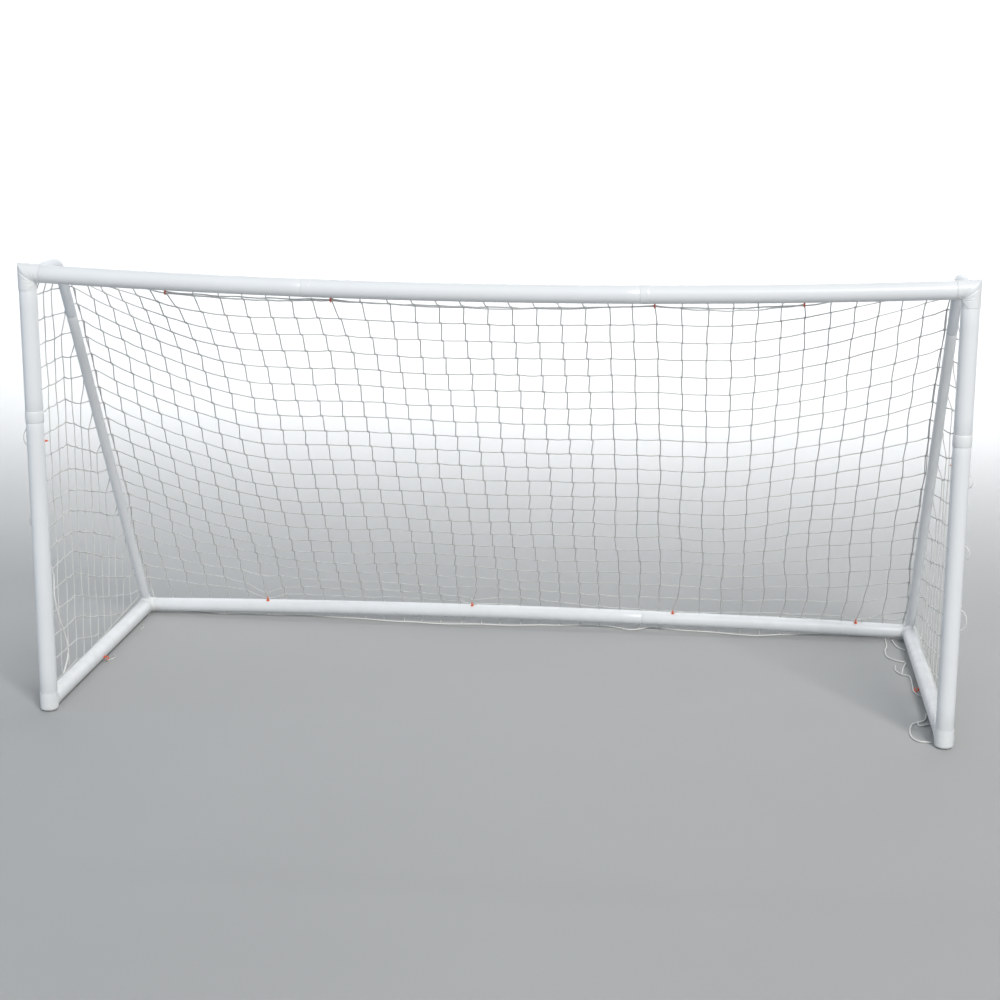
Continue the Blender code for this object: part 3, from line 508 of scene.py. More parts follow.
ENAMEL = {
    "x": coated_look("enamel_cross", (0.80, 0.815, 0.835), 0.12, "x"),
    "y": coated_look("enamel_deep", (0.80, 0.812, 0.83), 0.16, "y"),
    "z": coated_look("enamel_upright", (0.80, 0.814, 0.832), 0.14, "z"),
    # The elbows' darker, bluer tint is painted shade: the same white enamel, dimmed as if shaded by the
    # crossbar and lit from a blue sky
    "elbow": coated_look("enamel_elbow_painted_shade", (0.69, 0.72, 0.76), 0.14, "y"),
}
MOULDED = moulded_look()
ZINC = zinc_look()
RED = hook_look()
CORD = cord_look("net_cord_laid", 0.72, 0.011)
ROPE = cord_look("border_cord_laid", 0.90, 0.016)


# Tubes


def tube(name, node, look, points, radii, wall=MAIN_WALL, sides=64, holes=(), first=None):
    """A hollow tube with rounded lips, drilled where a button comes through."""
    points = np.asarray(points, float)
    radii = np.broadcast_to(np.asarray(radii, float), len(points))
    way, side, up = carried(points, first)
    lip = wall * 0.35
    last = len(points) - 1
    # Each ring by its point's number, its shift along the tube and its depth below the skin
    rows = [(0, 0, lip), (0, lip * 0.3, lip * 0.3), (0, lip, 0)]
    rows += [(index, 0, 0) for index in range(1, last)]
    rows += [(last, -lip, 0), (last, -lip * 0.3, lip * 0.3), (last, 0, lip)]
    rows += [(last, 0, wall - lip), (last, -lip, wall)]
    rows += [(index, 0, wall) for index in range(last - 1, 0, -1)]
    rows += [(0, lip, wall), (0, 0, wall - lip)]
    shape = Shape()
    shape.skin([points[i] + way[i] * shift + (radii[i] - depth) * spokes(sides, side[i], up[i])
                for i, shift, depth in rows], wrap=True)
    obj = shape.made(name)
    cutters = []
    for number, (centre, out, radius, reach) in enumerate(holes):
        drill = Shape()
        lathe(drill, [(0, 0), (radius, 0), (radius, reach), (0, reach)], centre, out, 24)
        cutters.append(drill.made(f"{name}_drill_{number}"))
    if cutters:
        cut_with(obj, cutters)
    settle(obj, ENAMEL[look], [node])


def with_rings(values, place):
    """Values along a tube, with more of them close to a hole."""
    extra = [place + step for step in (-0.012, -0.008, 0.008, 0.012)]
    return sorted(set(np.round(np.concatenate([values, extra]), 5)))


def bell(x, mouth):
    """How much a crossbar section is widened near the mouth at its left end."""
    share = np.clip((mouth + 0.036 - x) / 0.008, 0, 1)
    return 0.001 * share * share * (3 - 2 * share)


def crossbar_part(label, start, end, joint):
    """One section of the crossbar."""
    values = list(np.linspace(start, end, 22))
    holes = []
    if joint is not None:
        values += [start + step for step in (0.004, 0.026, 0.029, 0.031, 0.033, 0.035, 0.037, 0.040)]
        values = with_rings(values, joint + BUTTON_BACK)
        holes = [(crossbar_point(joint + BUTTON_BACK), Y, *BUTTON_HOLE)]
    values = sorted(values)
    radii = [MAIN_R + (bell(x, start) if joint is not None else 0) for x in values]
    points = [crossbar_point(x) for x in values]
    tube("crossbar_tube_" + label, "crossbar_" + label, "x", points, radii, holes=holes)


def straight_tube(name, node, look, base, way, ends, count, button=None, out=Y):
    """A straight piece of the front frame, with a hole where its button sits."""
    values = np.linspace(*ends, count)
    holes = []
    if button is not None:
        values = with_rings(values, button)
        holes = [(base + way * button, out, *BUTTON_HOLE)]
    tube(name, node, look, [base + way * value for value in values], MAIN_R, holes=holes)


def make_tubes():
    """Every coated tube of the frame."""
    reach = HALF_WIDTH - CROSS_ARM - FACE_GAP
    first, second = CROSS_JOINTS
    crossbar_part("left", -reach, first - HALF_GAP, None)
    crossbar_part("middle", first + HALF_GAP, second - HALF_GAP, first)
    crossbar_part("right", second + HALF_GAP, reach, second)
    reach = HALF_WIDTH - CORNER_BAR_ARM - FACE_GAP
    for label, ends in (("left", (-reach, REAR_JOINT - HALF_GAP)), ("right", (REAR_JOINT + HALF_GAP, reach))):
        points = [rear_bar_point(x) for x in np.linspace(*ends, 24)]
        tube("rear_tube_" + label, "rear_bar_" + label, "x", points, REAR_R)
    for label, side in SIDES:
        foot = beside(side)
        line = foot + Z * GROUND_LINE
        straight_tube("post_tube_lower_" + label, "lower_post_" + label, "z", foot, Z,
                      (FOOT_TOP + FACE_GAP, COLLAR_BOTTOM - FACE_GAP), 12, COLLAR_BOTTOM - BUTTON_BACK)
        straight_tube("post_tube_upper_" + label, "upper_post_" + label, "z", foot, Z,
                      (COLLAR_BOTTOM + COLLAR_HEIGHT + FACE_GAP, HEIGHT - POST_ARM - FACE_GAP), 8)
        straight_tube("side_tube_front_" + label, "front_side_bar_" + label, "y", line, Y,
                      (FOOT_ARM + FACE_GAP, SIDE_JOINT - HALF_GAP), 8, SIDE_JOINT - BUTTON_BACK, X * side)
        straight_tube("side_tube_rear_" + label, "rear_side_bar_" + label, "y", line, Y,
                      (SIDE_JOINT + HALF_GAP, DEPTH - CORNER_SIDE_ARM - FACE_GAP), 12)
        make_brace(label, side)


def make_brace(label, side):
    """The bent tube from the top corner and the stanchion below it."""
    corner = beside(side, 0.0, HEIGHT)
    turn_point = corner + Y * STUB_DEPTH
    centre = turn_point - Y * BEND_TANGENT - Z * BEND_R
    points = [corner + Y * y for y in np.linspace(0.0403, STUB_DEPTH - BEND_TANGENT, 6)[:-1]]
    points += [centre + slanted(angle, Z, Y) * BEND_R for angle in np.linspace(0, BEND_ANGLE, 19)]
    radii = [BRACE_R] * len(points)
    spigot = BRACE_R - BRACE_WALL - PLUG_GAP
    button = ELBOW_LEG + SPIGOT / 2
    for along, radius in ((0.12, BRACE_R), (0.20, BRACE_R), (0.262, BRACE_R), (0.2655, BRACE_R),
                          (0.269, spigot + 0.0004), (0.271, spigot), (button - 0.008, spigot),
                          (button + 0.008, spigot), (ELBOW_LEG + SPIGOT, spigot)):
        points.append(turn_point + BRACE_WAY * along)
        radii.append(radius)
    holes = [(turn_point + BRACE_WAY * button, X * side, *BRACE_HOLE)]
    # The elbow tube takes the enamel with painted shade in its tint
    tube("elbow_tube_" + label, "rear_elbow_" + label, "elbow", points, radii, BRACE_WALL, 48, holes, X)
    along = np.linspace(ELBOW_LEG + FACE_GAP, BRACE_LENGTH - CORNER_BRACE_ARM - FACE_GAP, 14)
    points = [turn_point + BRACE_WAY * s for s in with_rings(along, button)]
    tube("stanchion_tube_" + label, "stanchion_" + label, "z", points, BRACE_R, BRACE_WALL, 48, holes, X)


# Moulded fittings


def make_collar(label, side):
    """The band between the two halves of a post, with the plug that holds them."""
    plug = MAIN_PLUG
    top = COLLAR_HEIGHT + SPIGOT
    r = FITTING_R
    h = COLLAR_HEIGHT
    profile = [
        (plug - 0.001, top), (plug, top - 0.002), (plug, h), (r - 0.0026, h), (r - 0.0021, h - 0.0006),
        (r - 0.0003, h - 0.0036), (r, h - 0.0043), (r, h / 2 + 0.0006), (r - 0.0003, h / 2 + 0.0002),
        (r - 0.0003, h / 2 - 0.0002), (r, h / 2 - 0.0006), (r, 0.0016), (r - 0.0005, 0.0004),
        (r - 0.0014, 0), (plug, 0), (plug, -SPIGOT + 0.002), (plug - 0.001, -SPIGOT), (MAIN_BORE, -SPIGOT),
        (MAIN_BORE, top),
    ]
    shape = Shape()
    lathe(shape, profile, beside(side, 0.0, COLLAR_BOTTOM), Z, 64)
    settle(shape.made("collar_" + label, 35), MOULDED, ["post_collar_" + label])


def pleat_depth(across, up, pleats, fade_in, fade_out):
    """How deep pleats that fan out from a point are, at places beside and above it."""
    far = np.hypot(across, up)
    angle = np.arctan2(up, across)
    depth = np.zeros(len(far))
    for place, width, deep, low, high in pleats:
        gap = (angle - place + math.pi) % TAU - math.pi
        window = np.clip((far - low) / fade_in, 0, 1) * np.clip((high - far) / fade_out, 0, 1)
        depth += deep * np.exp(-(gap * far / width) ** 2) * window
    return depth


def elbow_rings(corner, ways, tips, radius, sides, trim=None, dent=None, steps=26):
    """Rings from one tip to the other of two round arms that meet in a mitre."""
    normal = unit(np.cross(ways[0], ways[1]))
    across = unit(ways[0] - ways[1])
    turn = np.linspace(0, TAU, sides, endpoint=False)
    rings = []
    for number, way in enumerate(ways):
        inward = np.cross(normal, way) if number == 0 else np.cross(way, normal)
        out = spokes(sides, inward, normal)
        mitre = -(radius * out) @ across / (way @ across)
        end = np.full(sides, float(tips[number]))
        if trim is not None and number == 1:
            end = trim(radius * np.cos(turn), end)
        shares = np.linspace(0, 1, steps)
        shares = shares if number == 1 else shares[::-1]
        for share in shares[(1 if number == 1 else 0):]:
            along = mitre + (end - mitre) * share
            points = corner + radius * out + along[:, None] * way
            if dent is not None:
                points = points + out * dent(points)[:, None]
            rings.append(points)
    return rings


def make_top_corner(label, side):
    """A mitred sleeve over its core, pleated near the inner corner, with a rear socket."""
    corner = beside(side, 0.0, HEIGHT)
    cross_way = unit(crossbar_point(side * (HALF_WIDTH - CROSS_ARM)) - corner)
    ways = (cross_way, -Z)
    inner = corner + (cross_way - Z) * FITTING_R
    pleats = [(math.radians(degrees), *rest) for degrees, *rest in CORNER_PLEATS]

    def dent(points):
        flat = points - inner
        return -pleat_depth(-flat[:, 0] * side, flat[:, 2], pleats, 0.004, 0.008)

    def trim(inward, end):
        # The sleeve's lower edge climbs towards the inner side of the post
        share = np.clip((inward - 0.012) / (FITTING_R - 0.012), 0, 1)
        return end - 0.026 * share

    shape = Shape()
    tips = (CROSS_ARM - FACE_GAP, POST_ARM - FACE_GAP)
    outer = elbow_rings(corner, ways, tips, FITTING_R, 160, trim, dent, 60)
    lip = elbow_rings(corner, ways, tips, FITTING_R - 0.0004, 160, trim)
    bed = elbow_rings(corner, ways, tips, FITTING_R - 0.0030, 160, trim)
    tuck = 0.0004
    rings = [lip[0]] + [outer[0] - cross_way * tuck] + outer[1:-1] + [outer[-1] + Z * tuck] + [lip[-1]]
    rings += [bed[-1]] + bed[1:-1][::-1] + [bed[0]]
    shape.skin(rings, wrap=True)
    full = (CROSS_ARM, POST_ARM)
    plugged = (CROSS_ARM + SPIGOT, POST_ARM + SPIGOT)
    head = elbow_rings(corner, ways, plugged, MAIN_PLUG, 64)
    root = elbow_rings(corner, ways, full, MAIN_PLUG, 64)
    core = [head[0], root[0]] + elbow_rings(corner, ways, full, MAIN_R, 64) + [root[-1], head[-1]]
    core += elbow_rings(corner, ways, plugged, MAIN_BORE, 64)[::-1]
    shape.skin(core, wrap=True)

    def socket_ring(radius, deep, on_sleeve=False):
        # A ring about the rear socket, at a depth or at a height over the sleeve
        off = radius * spokes(96, X, Z)
        deep = np.full(len(off), float(deep))
        if on_sleeve:
            skin = np.sqrt(np.maximum(0, FITTING_R ** 2 - off[:, ::2] ** 2))
            inner_side = off[:, 0] * -side - off[:, 2] > 0
            deep += np.where(inner_side, skin.max(axis=1), skin.min(axis=1))
        return corner + off + deep[:, None] * Y

    bore = BRACE_R + PLUG_GAP
    boss = bore + 0.004
    rim = 0.085
    skirt = [socket_ring(0.0322, 0.012)]
    for radius, rise in ((0.0322, -0.0012), (0.0306, 0.0003), (0.0291, 0.0012), (0.0279, 0.0026),
                         (0.0269, 0.0046), (0.0262, 0.0072), (boss, 0.0105)):
        skirt.append(socket_ring(radius, rise, True))
    for radius, deep in ((boss, 0.060), (boss, rim - 0.0016), (boss - 0.0006, rim - 0.0004),
                         (boss - 0.0016, rim), (bore + 0.0006, rim), (bore, rim - 0.0006), (bore, 0.042),
                         (BRACE_R - 0.004, 0.040), (0.004, 0.040), (0.004, 0.012)):
        skirt.append(socket_ring(radius, deep))
    shape.skin(skirt, wrap=True)
    settle(shape.made("top_corner_moulding_" + label, 32), MOULDED, ["top_corner_" + label])


def capsule_distance(points, start, end, radius, edge):
    """Distance to a cylinder with slightly rounded edges."""
    axis = end - start
    length = np.linalg.norm(axis)
    axis = axis / length
    along = (points - start) @ axis
    off = np.linalg.norm(points - start - along[:, None] * axis, axis=1)
    side = off - (radius - edge)
    cap = np.abs(along - length / 2) - (length / 2 - edge)
    inside = np.minimum(np.maximum(side, cap), 0)
    return inside + np.hypot(np.maximum(side, 0), np.maximum(cap, 0)) - edge


def block_distance(points, low, high, edge):
    """Distance to a box with rounded edges."""
    middle, half = (low + high) / 2, (high - low) / 2 - edge
    gap = np.abs(points - middle) - half
    outside = np.linalg.norm(np.maximum(gap, 0), axis=1)
    return outside + np.minimum(gap.max(axis=1), 0) - edge


def melted(first, second, size):
    """Two distances joined with a fillet."""
    gap = np.maximum(size - np.abs(first - second), 0) / size
    return np.minimum(first, second) - gap * gap * size / 4


def melted_mesh(distance, low, high, cell):
    """A closed skin over the places where a distance is zero, in square cells."""
    counts = np.ceil((high - low) / cell).astype(int) + 1
    axes = [low[i] + cell * np.arange(counts[i]) for i in range(3)]
    grid = np.stack(np.meshgrid(*axes, indexing="ij"), -1)
    value = distance(grid.reshape(-1, 3)).reshape(counts)
    inside = value < 0
    # One point in each cell that the skin passes, and one face across each crossed edge
    cells = np.zeros(np.array(counts) - 1, int)
    corner_sum = np.zeros(np.array(counts) - 1, int)
    for dx, dy, dz in np.ndindex(2, 2, 2):
        corner_sum += inside[dx:counts[0] - 1 + dx, dy:counts[1] - 1 + dy, dz:counts[2] - 1 + dz]
    mixed = (corner_sum > 0) & (corner_sum < 8)
    cells[mixed] = np.arange(mixed.sum())
    points = np.argwhere(mixed) * cell + low + cell / 2
    faces = []
    for axis in range(3):
        order = [axis] + [i for i in range(3) if i != axis]
        ahead = np.moveaxis(inside, axis, 0)
        crossed = np.argwhere(ahead[:-1] != ahead[1:])
        flip = ahead[:-1][tuple(crossed.T)]
        corners = []
        for back in ((0, 0, 0), (0, 1, 0), (0, 1, 1), (0, 0, 1)):
            near = np.zeros_like(crossed)
            near[:, order] = crossed - back
            corners.append(cells[tuple(near.T)])
        quads = np.stack(corners, 1)
        quads[flip] = quads[flip][:, ::-1]
        faces += quads.tolist()
    # The points slide onto the skin, never more than a cell at a time
    step = cell * 0.05
    for _ in range(6):
        slope = np.stack([(distance(points + shift) - distance(points - shift)) / (2 * step)
                          for shift in np.eye(3) * step], 1)
        size = np.maximum((slope ** 2).sum(axis=1), 0.2)
        move = slope * (distance(points) / size)[:, None]
        limit = np.linalg.norm(move, axis=1)[:, None]
        points = points - move * np.minimum(1, cell / np.maximum(limit, 1e-9))
    shape = Shape()
    shape.add(points, faces)
    return shape


def with_groove(body, points, place, way, reach, depth):
    """A body with a thin groove round one of its arms."""
    along = (points - place) @ way
    off = np.linalg.norm(points - place - along[:, None] * way, axis=1)
    return body + depth * np.exp(-(along / GROOVE_WIDTH) ** 2) * (off < reach)


def with_pad(body, points, centre, front, back):
    """A body with the flat pad under it."""
    low = centre + at(-PAD_HALF_WIDTH, front, -GROUND_LINE)
    high = centre + at(PAD_HALF_WIDTH, back, -PAD_TOP)
    return melted(body, block_distance(points, low, high, 0.0008), 0.002)


def make_fitting(name, node, distance, box, arms, plug_wall):
    """A moulding from its distance, cut flat at its arms' ends, with a plug at each of them."""
    obj = melted_mesh(distance, *box, MELT_CELL).made(name)
    plugs = Shape()
    work = bmesh.new()
    work.from_mesh(obj.data)
    for tip, way, tube_r in arms:
        found = bmesh.ops.bisect_plane(
            work, geom=[*work.verts, *work.edges, *work.faces], plane_co=tip - Y * MIDDLE_DEPTH,
            plane_no=way, clear_outer=True, dist=0.00002)
        edges = [item for item in found["geom_cut"] if isinstance(item, bmesh.types.BMEdge)]
        bmesh.ops.holes_fill(work, edges=edges, sides=0)
        plug = tube_r - MAIN_WALL - PLUG_GAP
        bore = plug - plug_wall
        lathe(plugs, [(plug, -0.004), (plug, SPIGOT - 0.002), (plug - 0.001, SPIGOT), (bore, SPIGOT),
                      (bore, -0.004)], tip, way, 48)
    bmesh.ops.recalc_face_normals(work, faces=work.faces)
    inner = plugs.made(name + "_plugs")
    work.from_mesh(inner.data)
    work.to_mesh(obj.data)
    work.free()
    take_out([inner])
    shade(obj.data, 42)
    settle(obj, MOULDED, [node])


def make_foot(label, side):
    """Front foot: post socket, arm for the side bar, flat sole with a rounded edge, and its pad."""
    heel = beside(side, 0.0, GROUND_LINE)
    top = beside(side, 0.0, FOOT_TOP)
    rear = heel + Y * FOOT_ARM
    spare = 0.006
    r = FITTING_R
    pleats = [(place, 0.0011, 0.0005, 0.010, 0.050) for place in HEEL_PLEATS]

    def distance(p):
        post = capsule_distance(p, heel, top + Z * spare, r, 0.001)
        arm = capsule_distance(p, heel, rear + Y * spare, r - 0.0004, 0.001)
        base = capsule_distance(p, heel - Z * r, heel + Z * r, r, SOLE_ROUND)
        body = melted(np.minimum(post, base), arm, 0.010)
        body = with_pad(body, p, heel, 0.018 - r, FOOT_ARM - 0.004)
        body = with_groove(body, p, top - Z * 0.0045, Z, 0.05, 0.0007)
        body = with_groove(body, p, rear - Y * 0.0050, Y, 0.05, 0.0006)
        # Film-like pleats on both flanks behind the heel
        flat = p - heel - Y * 0.030 - Z * 0.030
        flank = np.abs(p[:, 0] - heel[0]) > 0.012
        return body + pleat_depth(flat[:, 1], flat[:, 2], pleats, 0.006, 0.010) * flank

    low = heel - at(r + 0.004, r + 0.004, GROUND_LINE + 0.003)
    high = heel + at(r + 0.004, FOOT_ARM + spare + 0.004, FOOT_TOP - GROUND_LINE + spare + 0.004)
    make_fitting("foot_moulding_" + label, "front_foot_" + label, distance, (low, high),
                 ((top, Z, MAIN_R), (rear, Y, MAIN_R)), PLUG_WALL)


def make_rear_corner(label, side):
    """Rear corner with its three arms, ringed where the rear bar and the stanchion go in."""
    centre = beside(side, DEPTH, GROUND_LINE)
    side_tip = centre - Y * CORNER_SIDE_ARM
    bar_tip = rear_bar_point(side * (HALF_WIDTH - CORNER_BAR_ARM))
    brace_tip = centre - BRACE_WAY * CORNER_BRACE_ARM
    bar_way = unit(bar_tip - centre)
    r = FITTING_R
    spare = 0.006

    def distance(p):
        arm = capsule_distance(p, centre, side_tip - Y * spare, r, 0.001)
        ball = np.linalg.norm(p - centre, axis=1) - r
        bar = capsule_distance(p, centre, bar_tip + bar_way * spare, REAR_R + 0.0015, 0.001)
        brace = capsule_distance(p, centre, brace_tip - BRACE_WAY * spare, BRACE_R + 0.001, 0.001)
        body = melted(np.minimum(arm, ball), bar, 0.009)
        body = melted(body, brace, 0.012)
        body = with_pad(body, p, centre, 0.004 - CORNER_SIDE_ARM, r - 0.018)
        body = with_groove(body, p, bar_tip - bar_way * 0.0035, bar_way, 0.04, 0.0007)
        body = with_groove(body, p, side_tip + Y * 0.0045, Y, 0.05, 0.0006)
        return with_groove(body, p, brace_tip + BRACE_WAY * 0.0050, BRACE_WAY, 0.03, 0.0006)

    low = np.minimum.reduce([centre - (r + 0.004), side_tip - (r + 0.010), bar_tip - 0.045])
    low[2] = -0.003
    high = np.maximum.reduce([centre + (r + 0.004), brace_tip + 0.033, bar_tip + 0.045])
    arms = ((side_tip, -Y, MAIN_R), (bar_tip, bar_way, REAR_R), (brace_tip, -BRACE_WAY, BRACE_R))
    make_fitting("rear_corner_moulding_" + label, "rear_corner_" + label, distance, (low, high), arms,
                 THIN_PLUG_WALL)


# Snap buttons


def make_button(name, centre, out, brace=False):
    """A domed steel button with the flange that keeps it inside the tube."""
    outer = BRACE_R if brace else MAIN_R
    bore = BRACE_R - 2 * BRACE_WALL - PLUG_GAP if brace else MAIN_BORE
    radius, flange, sides = (0.0034, 0.0060, 16) if brace else (0.0044, 0.0085, 20)
    seat = math.sqrt((bore * math.cos(math.pi / sides) - FACE_GAP) ** 2 - flange ** 2)
    tip = outer + 0.003
    profile = [
        (0, tip), (radius * 0.42, tip - 0.00008), (radius * 0.72, tip - 0.0004), (radius * 0.9, tip - 0.0010),
        (radius, tip - 0.0019), (radius, seat + 0.0006), (radius + 0.0006, seat), (flange - 0.0003, seat),
        (flange, seat - 0.0003), (flange, seat - 0.0012), (flange - 0.0003, seat - 0.0015),
        (0, seat - 0.0015),
    ]
    shape = Shape()
    lathe(shape, profile, centre, out, 28)
    settle(shape.made(name + "_cap", 35), ZINC, [name], name.replace("button", "snap"))


def make_buttons():
    """All eight snap buttons."""
    for joint, label in zip(CROSS_JOINTS, ("left", "right")):
        make_button("crossbar_button_" + label, crossbar_point(joint + BUTTON_BACK), Y)
    for label, side in SIDES:
        make_button("post_button_" + label, beside(side, 0.0, COLLAR_BOTTOM - BUTTON_BACK), Y)
        make_button("side_bar_button_" + label, beside(side, SIDE_JOINT - BUTTON_BACK, GROUND_LINE), X * side)
        place = beside(side, STUB_DEPTH, HEIGHT) + BRACE_WAY * (ELBOW_LEG + SPIGOT / 2)
        make_button("stanchion_button_" + label, place, X * side, True)


# Net hooks


def make_hook(name, centre, out, cord_way, radius):
    """A moulded hook: flange, tapered neck and an open ring with a rounded tip."""
    out = unit(out)
    across = np.cross(out, cord_way)
    base = centre + out * radius
    shape = Shape()
    profile = [
        (0, -0.006), (0.0022, -0.006), (0.0027, -0.0052), (0.0027, 0.0003), (0.0070, 0.0003),
        (0.0076, 0.0008), (0.0076, 0.0017), (0.0070, 0.0023), (0.0048, 0.0027), (0.0040, 0.0035),
        (0.0036, 0.0048), (0.0032, 0.0066), (0.0014, 0.0074), (0, 0.0074),
    ]
    lathe(shape, profile, base, out, 28)
    sweep = np.radians(np.linspace(-12, 285, 34))
    ring = [base + across * RING_R * math.sin(a) + out * (RING_HEIGHT - RING_R * math.cos(a)) for a in sweep]
    radii = np.interp(np.degrees(sweep), (-12, 0, 40, 200, 262, 272, 280, 285),
                      (0.0024, 0.0032, 0.0028, 0.0025, 0.0024, 0.0028, 0.0024, 0.0010))
    shape.skin(ring_set(np.array(ring), radii, 14, first=cord_way))
    settle(shape.made(name + "_moulding", 50), RED, [name])


def make_hooks():
    """Hooks under the crossbar, on the rear bar, the posts and the side bars."""
    tilt = math.radians(20)
    for index, x in enumerate(CROSS_HOOKS, 1):
        make_hook(f"crossbar_hook_{index}", crossbar_point(x), slanted(tilt, -Z, Y), X, MAIN_R)
    for index, x in enumerate(REAR_HOOKS, 1):
        make_hook(f"rear_bar_hook_{index}", rear_bar_point(x), slanted(REAR_HOOK_TILT, Z, -Y), X, REAR_R)
    for label, side in SIDES:
        inward = X * -side
        make_hook("post_hook_" + label, beside(side, 0.0, POST_HOOK_Z),
                  slanted(POST_HOOK_TILT, inward, Y), Z, MAIN_R)
        make_hook("side_bar_hook_" + label, beside(side, SIDE_HOOK_Y, GROUND_LINE),
                  slanted(tilt, inward, -Z), Y, MAIN_R)


# Net

COLUMNS = 39
ROWS = 24
LEFT_EDGE = -1.767
RIGHT_EDGE = 1.765
COLUMN_STEP = (RIGHT_EDGE - LEFT_EDGE) / (COLUMNS - 1)
COLUMN_X = LEFT_EDGE + COLUMN_STEP * np.arange(COLUMNS)
ROW_STEP = 0.1017
# A cord bends at a knot over this share of the way to the next one
BEND_SHARE = 0.055
CORD_R = 0.0024
BORDER_R = 0.0029
EDGE_CORD_R = 0.0023
SLACK_CORD_R = 0.0026
HEM_R = 0.0034
LOOP_R = 0.0032
LOOP_Z = 0.0042
HEM_Z = 0.0046
# Where the net starts behind the crossbar's axis, and where the head cord runs under it
FIRST_ROW = np.array((0.0, 0.0405, -0.004))
HEAD = np.array((0.0, 0.0171, -0.0474))
HEAD_SAG = 0.0085
# How far along the stub and stanchion the net's edges can reach
EDGE_END = STUB_DEPTH + BRACE_LENGTH - 0.055
LACE_END = STUB_DEPTH + BRACE_LENGTH - 0.065
LACE_OUT = 0.0140
# How far back the hem lies on the ground, along the width
HEM_X = (-1.80, -1.627, -1.439, -1.058, -0.863, -0.691, -0.424, 0.0, 0.278, 0.443, 0.525, 0.606,
         0.793, 0.978, 1.115, 1.245, 1.35, 1.80)
HEM_Y = (1.4396, 1.440, 1.410, 1.425, 1.416, 1.396, 1.371, 1.392, 1.432, 1.425, 1.378, 1.434,
         1.405, 1.381, 1.362, 1.406, 1.425, 1.4396)


def ease(value):
    """A smooth step from 0 to 1."""
    value = np.clip(value, 0, 1)
    return value * value * (3 - 2 * value)


def brace_place(s, out):
    """A point a little off the stub and stanchion, a distance along them from the top corner."""
    bend = STUB_DEPTH - BEND_TANGENT
    if s <= bend:
        return at(0, s, HEIGHT + out)
    after = s - bend
    if after < 2 * BEND_TANGENT:
        angle = BEND_ANGLE * after / (2 * BEND_TANGENT)
        return at(0, bend, HEIGHT - BEND_R) + slanted(angle, Z, Y) * (BEND_R + out)
    return at(0, STUB_DEPTH, HEIGHT) + BRACE_WAY * (s - STUB_DEPTH) + BRACE_OUT * out


def head_point(x):
    """The head cord, held at the hooks and slack between them."""
    place = crossbar_point(x) + HEAD
    for start, end in zip(CROSS_HOOKS[:-1], CROSS_HOOKS[1:]):
        if start < x < end:
            share = (x - start) / (end - start)
            place[2] -= HEAD_SAG * 4 * share * (1 - share)
    return place


def sheet_point(x, d):
    """The net's plain slope from the head cord to the rear bar, where it ends."""
    axis = rear_bar_point(np.clip(x, -HALF_WIDTH, HALF_WIDTH))
    top = head_point(x)
    low = at(x, axis[1], axis[2]) + BRACE_OUT * 0.0395
    length = np.linalg.norm(low - top)
    if d > length:
        return low
    return top + (low - top) * d / length - BRACE_OUT * 0.010 * math.sin(math.pi * d / length)


def edge_distance(side, v):
    """How far along the stub and stanchion a row's end lies."""
    return 0.129 + 0.0913 * v if side < 0 else 0.1404 + 0.0979 * v


def edge_lift(s):
    """How far off the tube's axis the net's edge is: low beside the stub and on top of the stanchion."""
    return -0.012 + 0.0382 * ease((s - 0.42) / 0.10)


def edge_wrap(side, s):
    """Points where a row's cord goes under a stub, or over a stanchion, to the outer side."""
    if s > 0.45:
        places = ((-0.0150, 0.0195), (0.0, 0.0245), (0.0140, 0.0215))
    else:
        places = ((-0.0150, -0.0195), (0.0, -0.0245), (0.0110, -0.0265))
    s = min(s, EDGE_END)
    return [brace_place(s, out) + X * side * (HALF_WIDTH + across) for across, out in places]


def plain_knot(x, v, slack):
    """Where a row's knot would hang at a place along the width, away from both sides."""
    if v == 0:
        return crossbar_point(x) + FIRST_ROW
    return sheet_point(x, ROW_STEP * (v - 1) - 0.0028 * max(0, v - 16) ** 2 * slack)


def net_knot(k, v):
    """A knot of the back net, by its column from the left and its row from the crossbar."""
    x = COLUMN_X[k]
    slack = ease((0.65 - x) / 0.95)
    point = plain_knot(x, v, slack)
    for side, edge, reach, power in ((-1, LEFT_EDGE, 0.80, 1.6), (1, RIGHT_EDGE, 0.92, 1.7)):
        share = max(0.0, 1 - abs(x - edge) / reach) ** power
        if share > 0:
            s = edge_distance(side, v)
            held = brace_place(min(s, EDGE_END), edge_lift(s))
            point = point + (held - plain_knot(edge, v, slack)) * (0, 1, 1) * share
    return point


def pushed(points, start, end, radius):
    """Points moved straight out of a round bar."""
    axis = end - start
    length = np.linalg.norm(axis)
    axis = axis / length
    along = (points - start) @ axis
    foot = start + along[:, None] * axis
    off = points - foot
    far = np.linalg.norm(off, axis=1)
    near = (far < radius) & (along > -0.01) & (along < length + 0.01) & (far > 1e-6)
    points = points.copy()
    points[near] = foot[near] + off[near] / far[near][:, None] * radius
    return points


def cleared(points, cord=CORD_R):
    """A line of net moved out of the bars that it lies against."""
    gap = cord + 0.0004
    steps = np.linspace(-1.79, 1.79, 13)
    for _ in range(2):
        for start, end in zip(steps[:-1], steps[1:]):
            points = pushed(points, crossbar_point(start), crossbar_point(end), 0.0361 + gap)
            points = pushed(points, rear_bar_point(start), rear_bar_point(end), REAR_R + gap)
        for side in (-1, 1):
            corner = beside(side, 0.0, HEIGHT)
            turn_point = corner + Y * STUB_DEPTH
            low = beside(side, DEPTH, GROUND_LINE)
            for start, end, radius in (
                    (corner, corner + Y * 0.090, 0.0262),
                    (corner + Y * 0.080, turn_point - Y * BEND_TANGENT, BRACE_R),
                    (turn_point + BRACE_WAY * BEND_TANGENT, low, 0.0226),
                    (low - Y * 0.06, low, FITTING_R), (low - X * side * 0.05, low, 0.0336)):
                points = pushed(points, start, end, radius + gap)
    points[:, 2] = np.maximum(points[:, 2], cord + 0.0002)
    return points


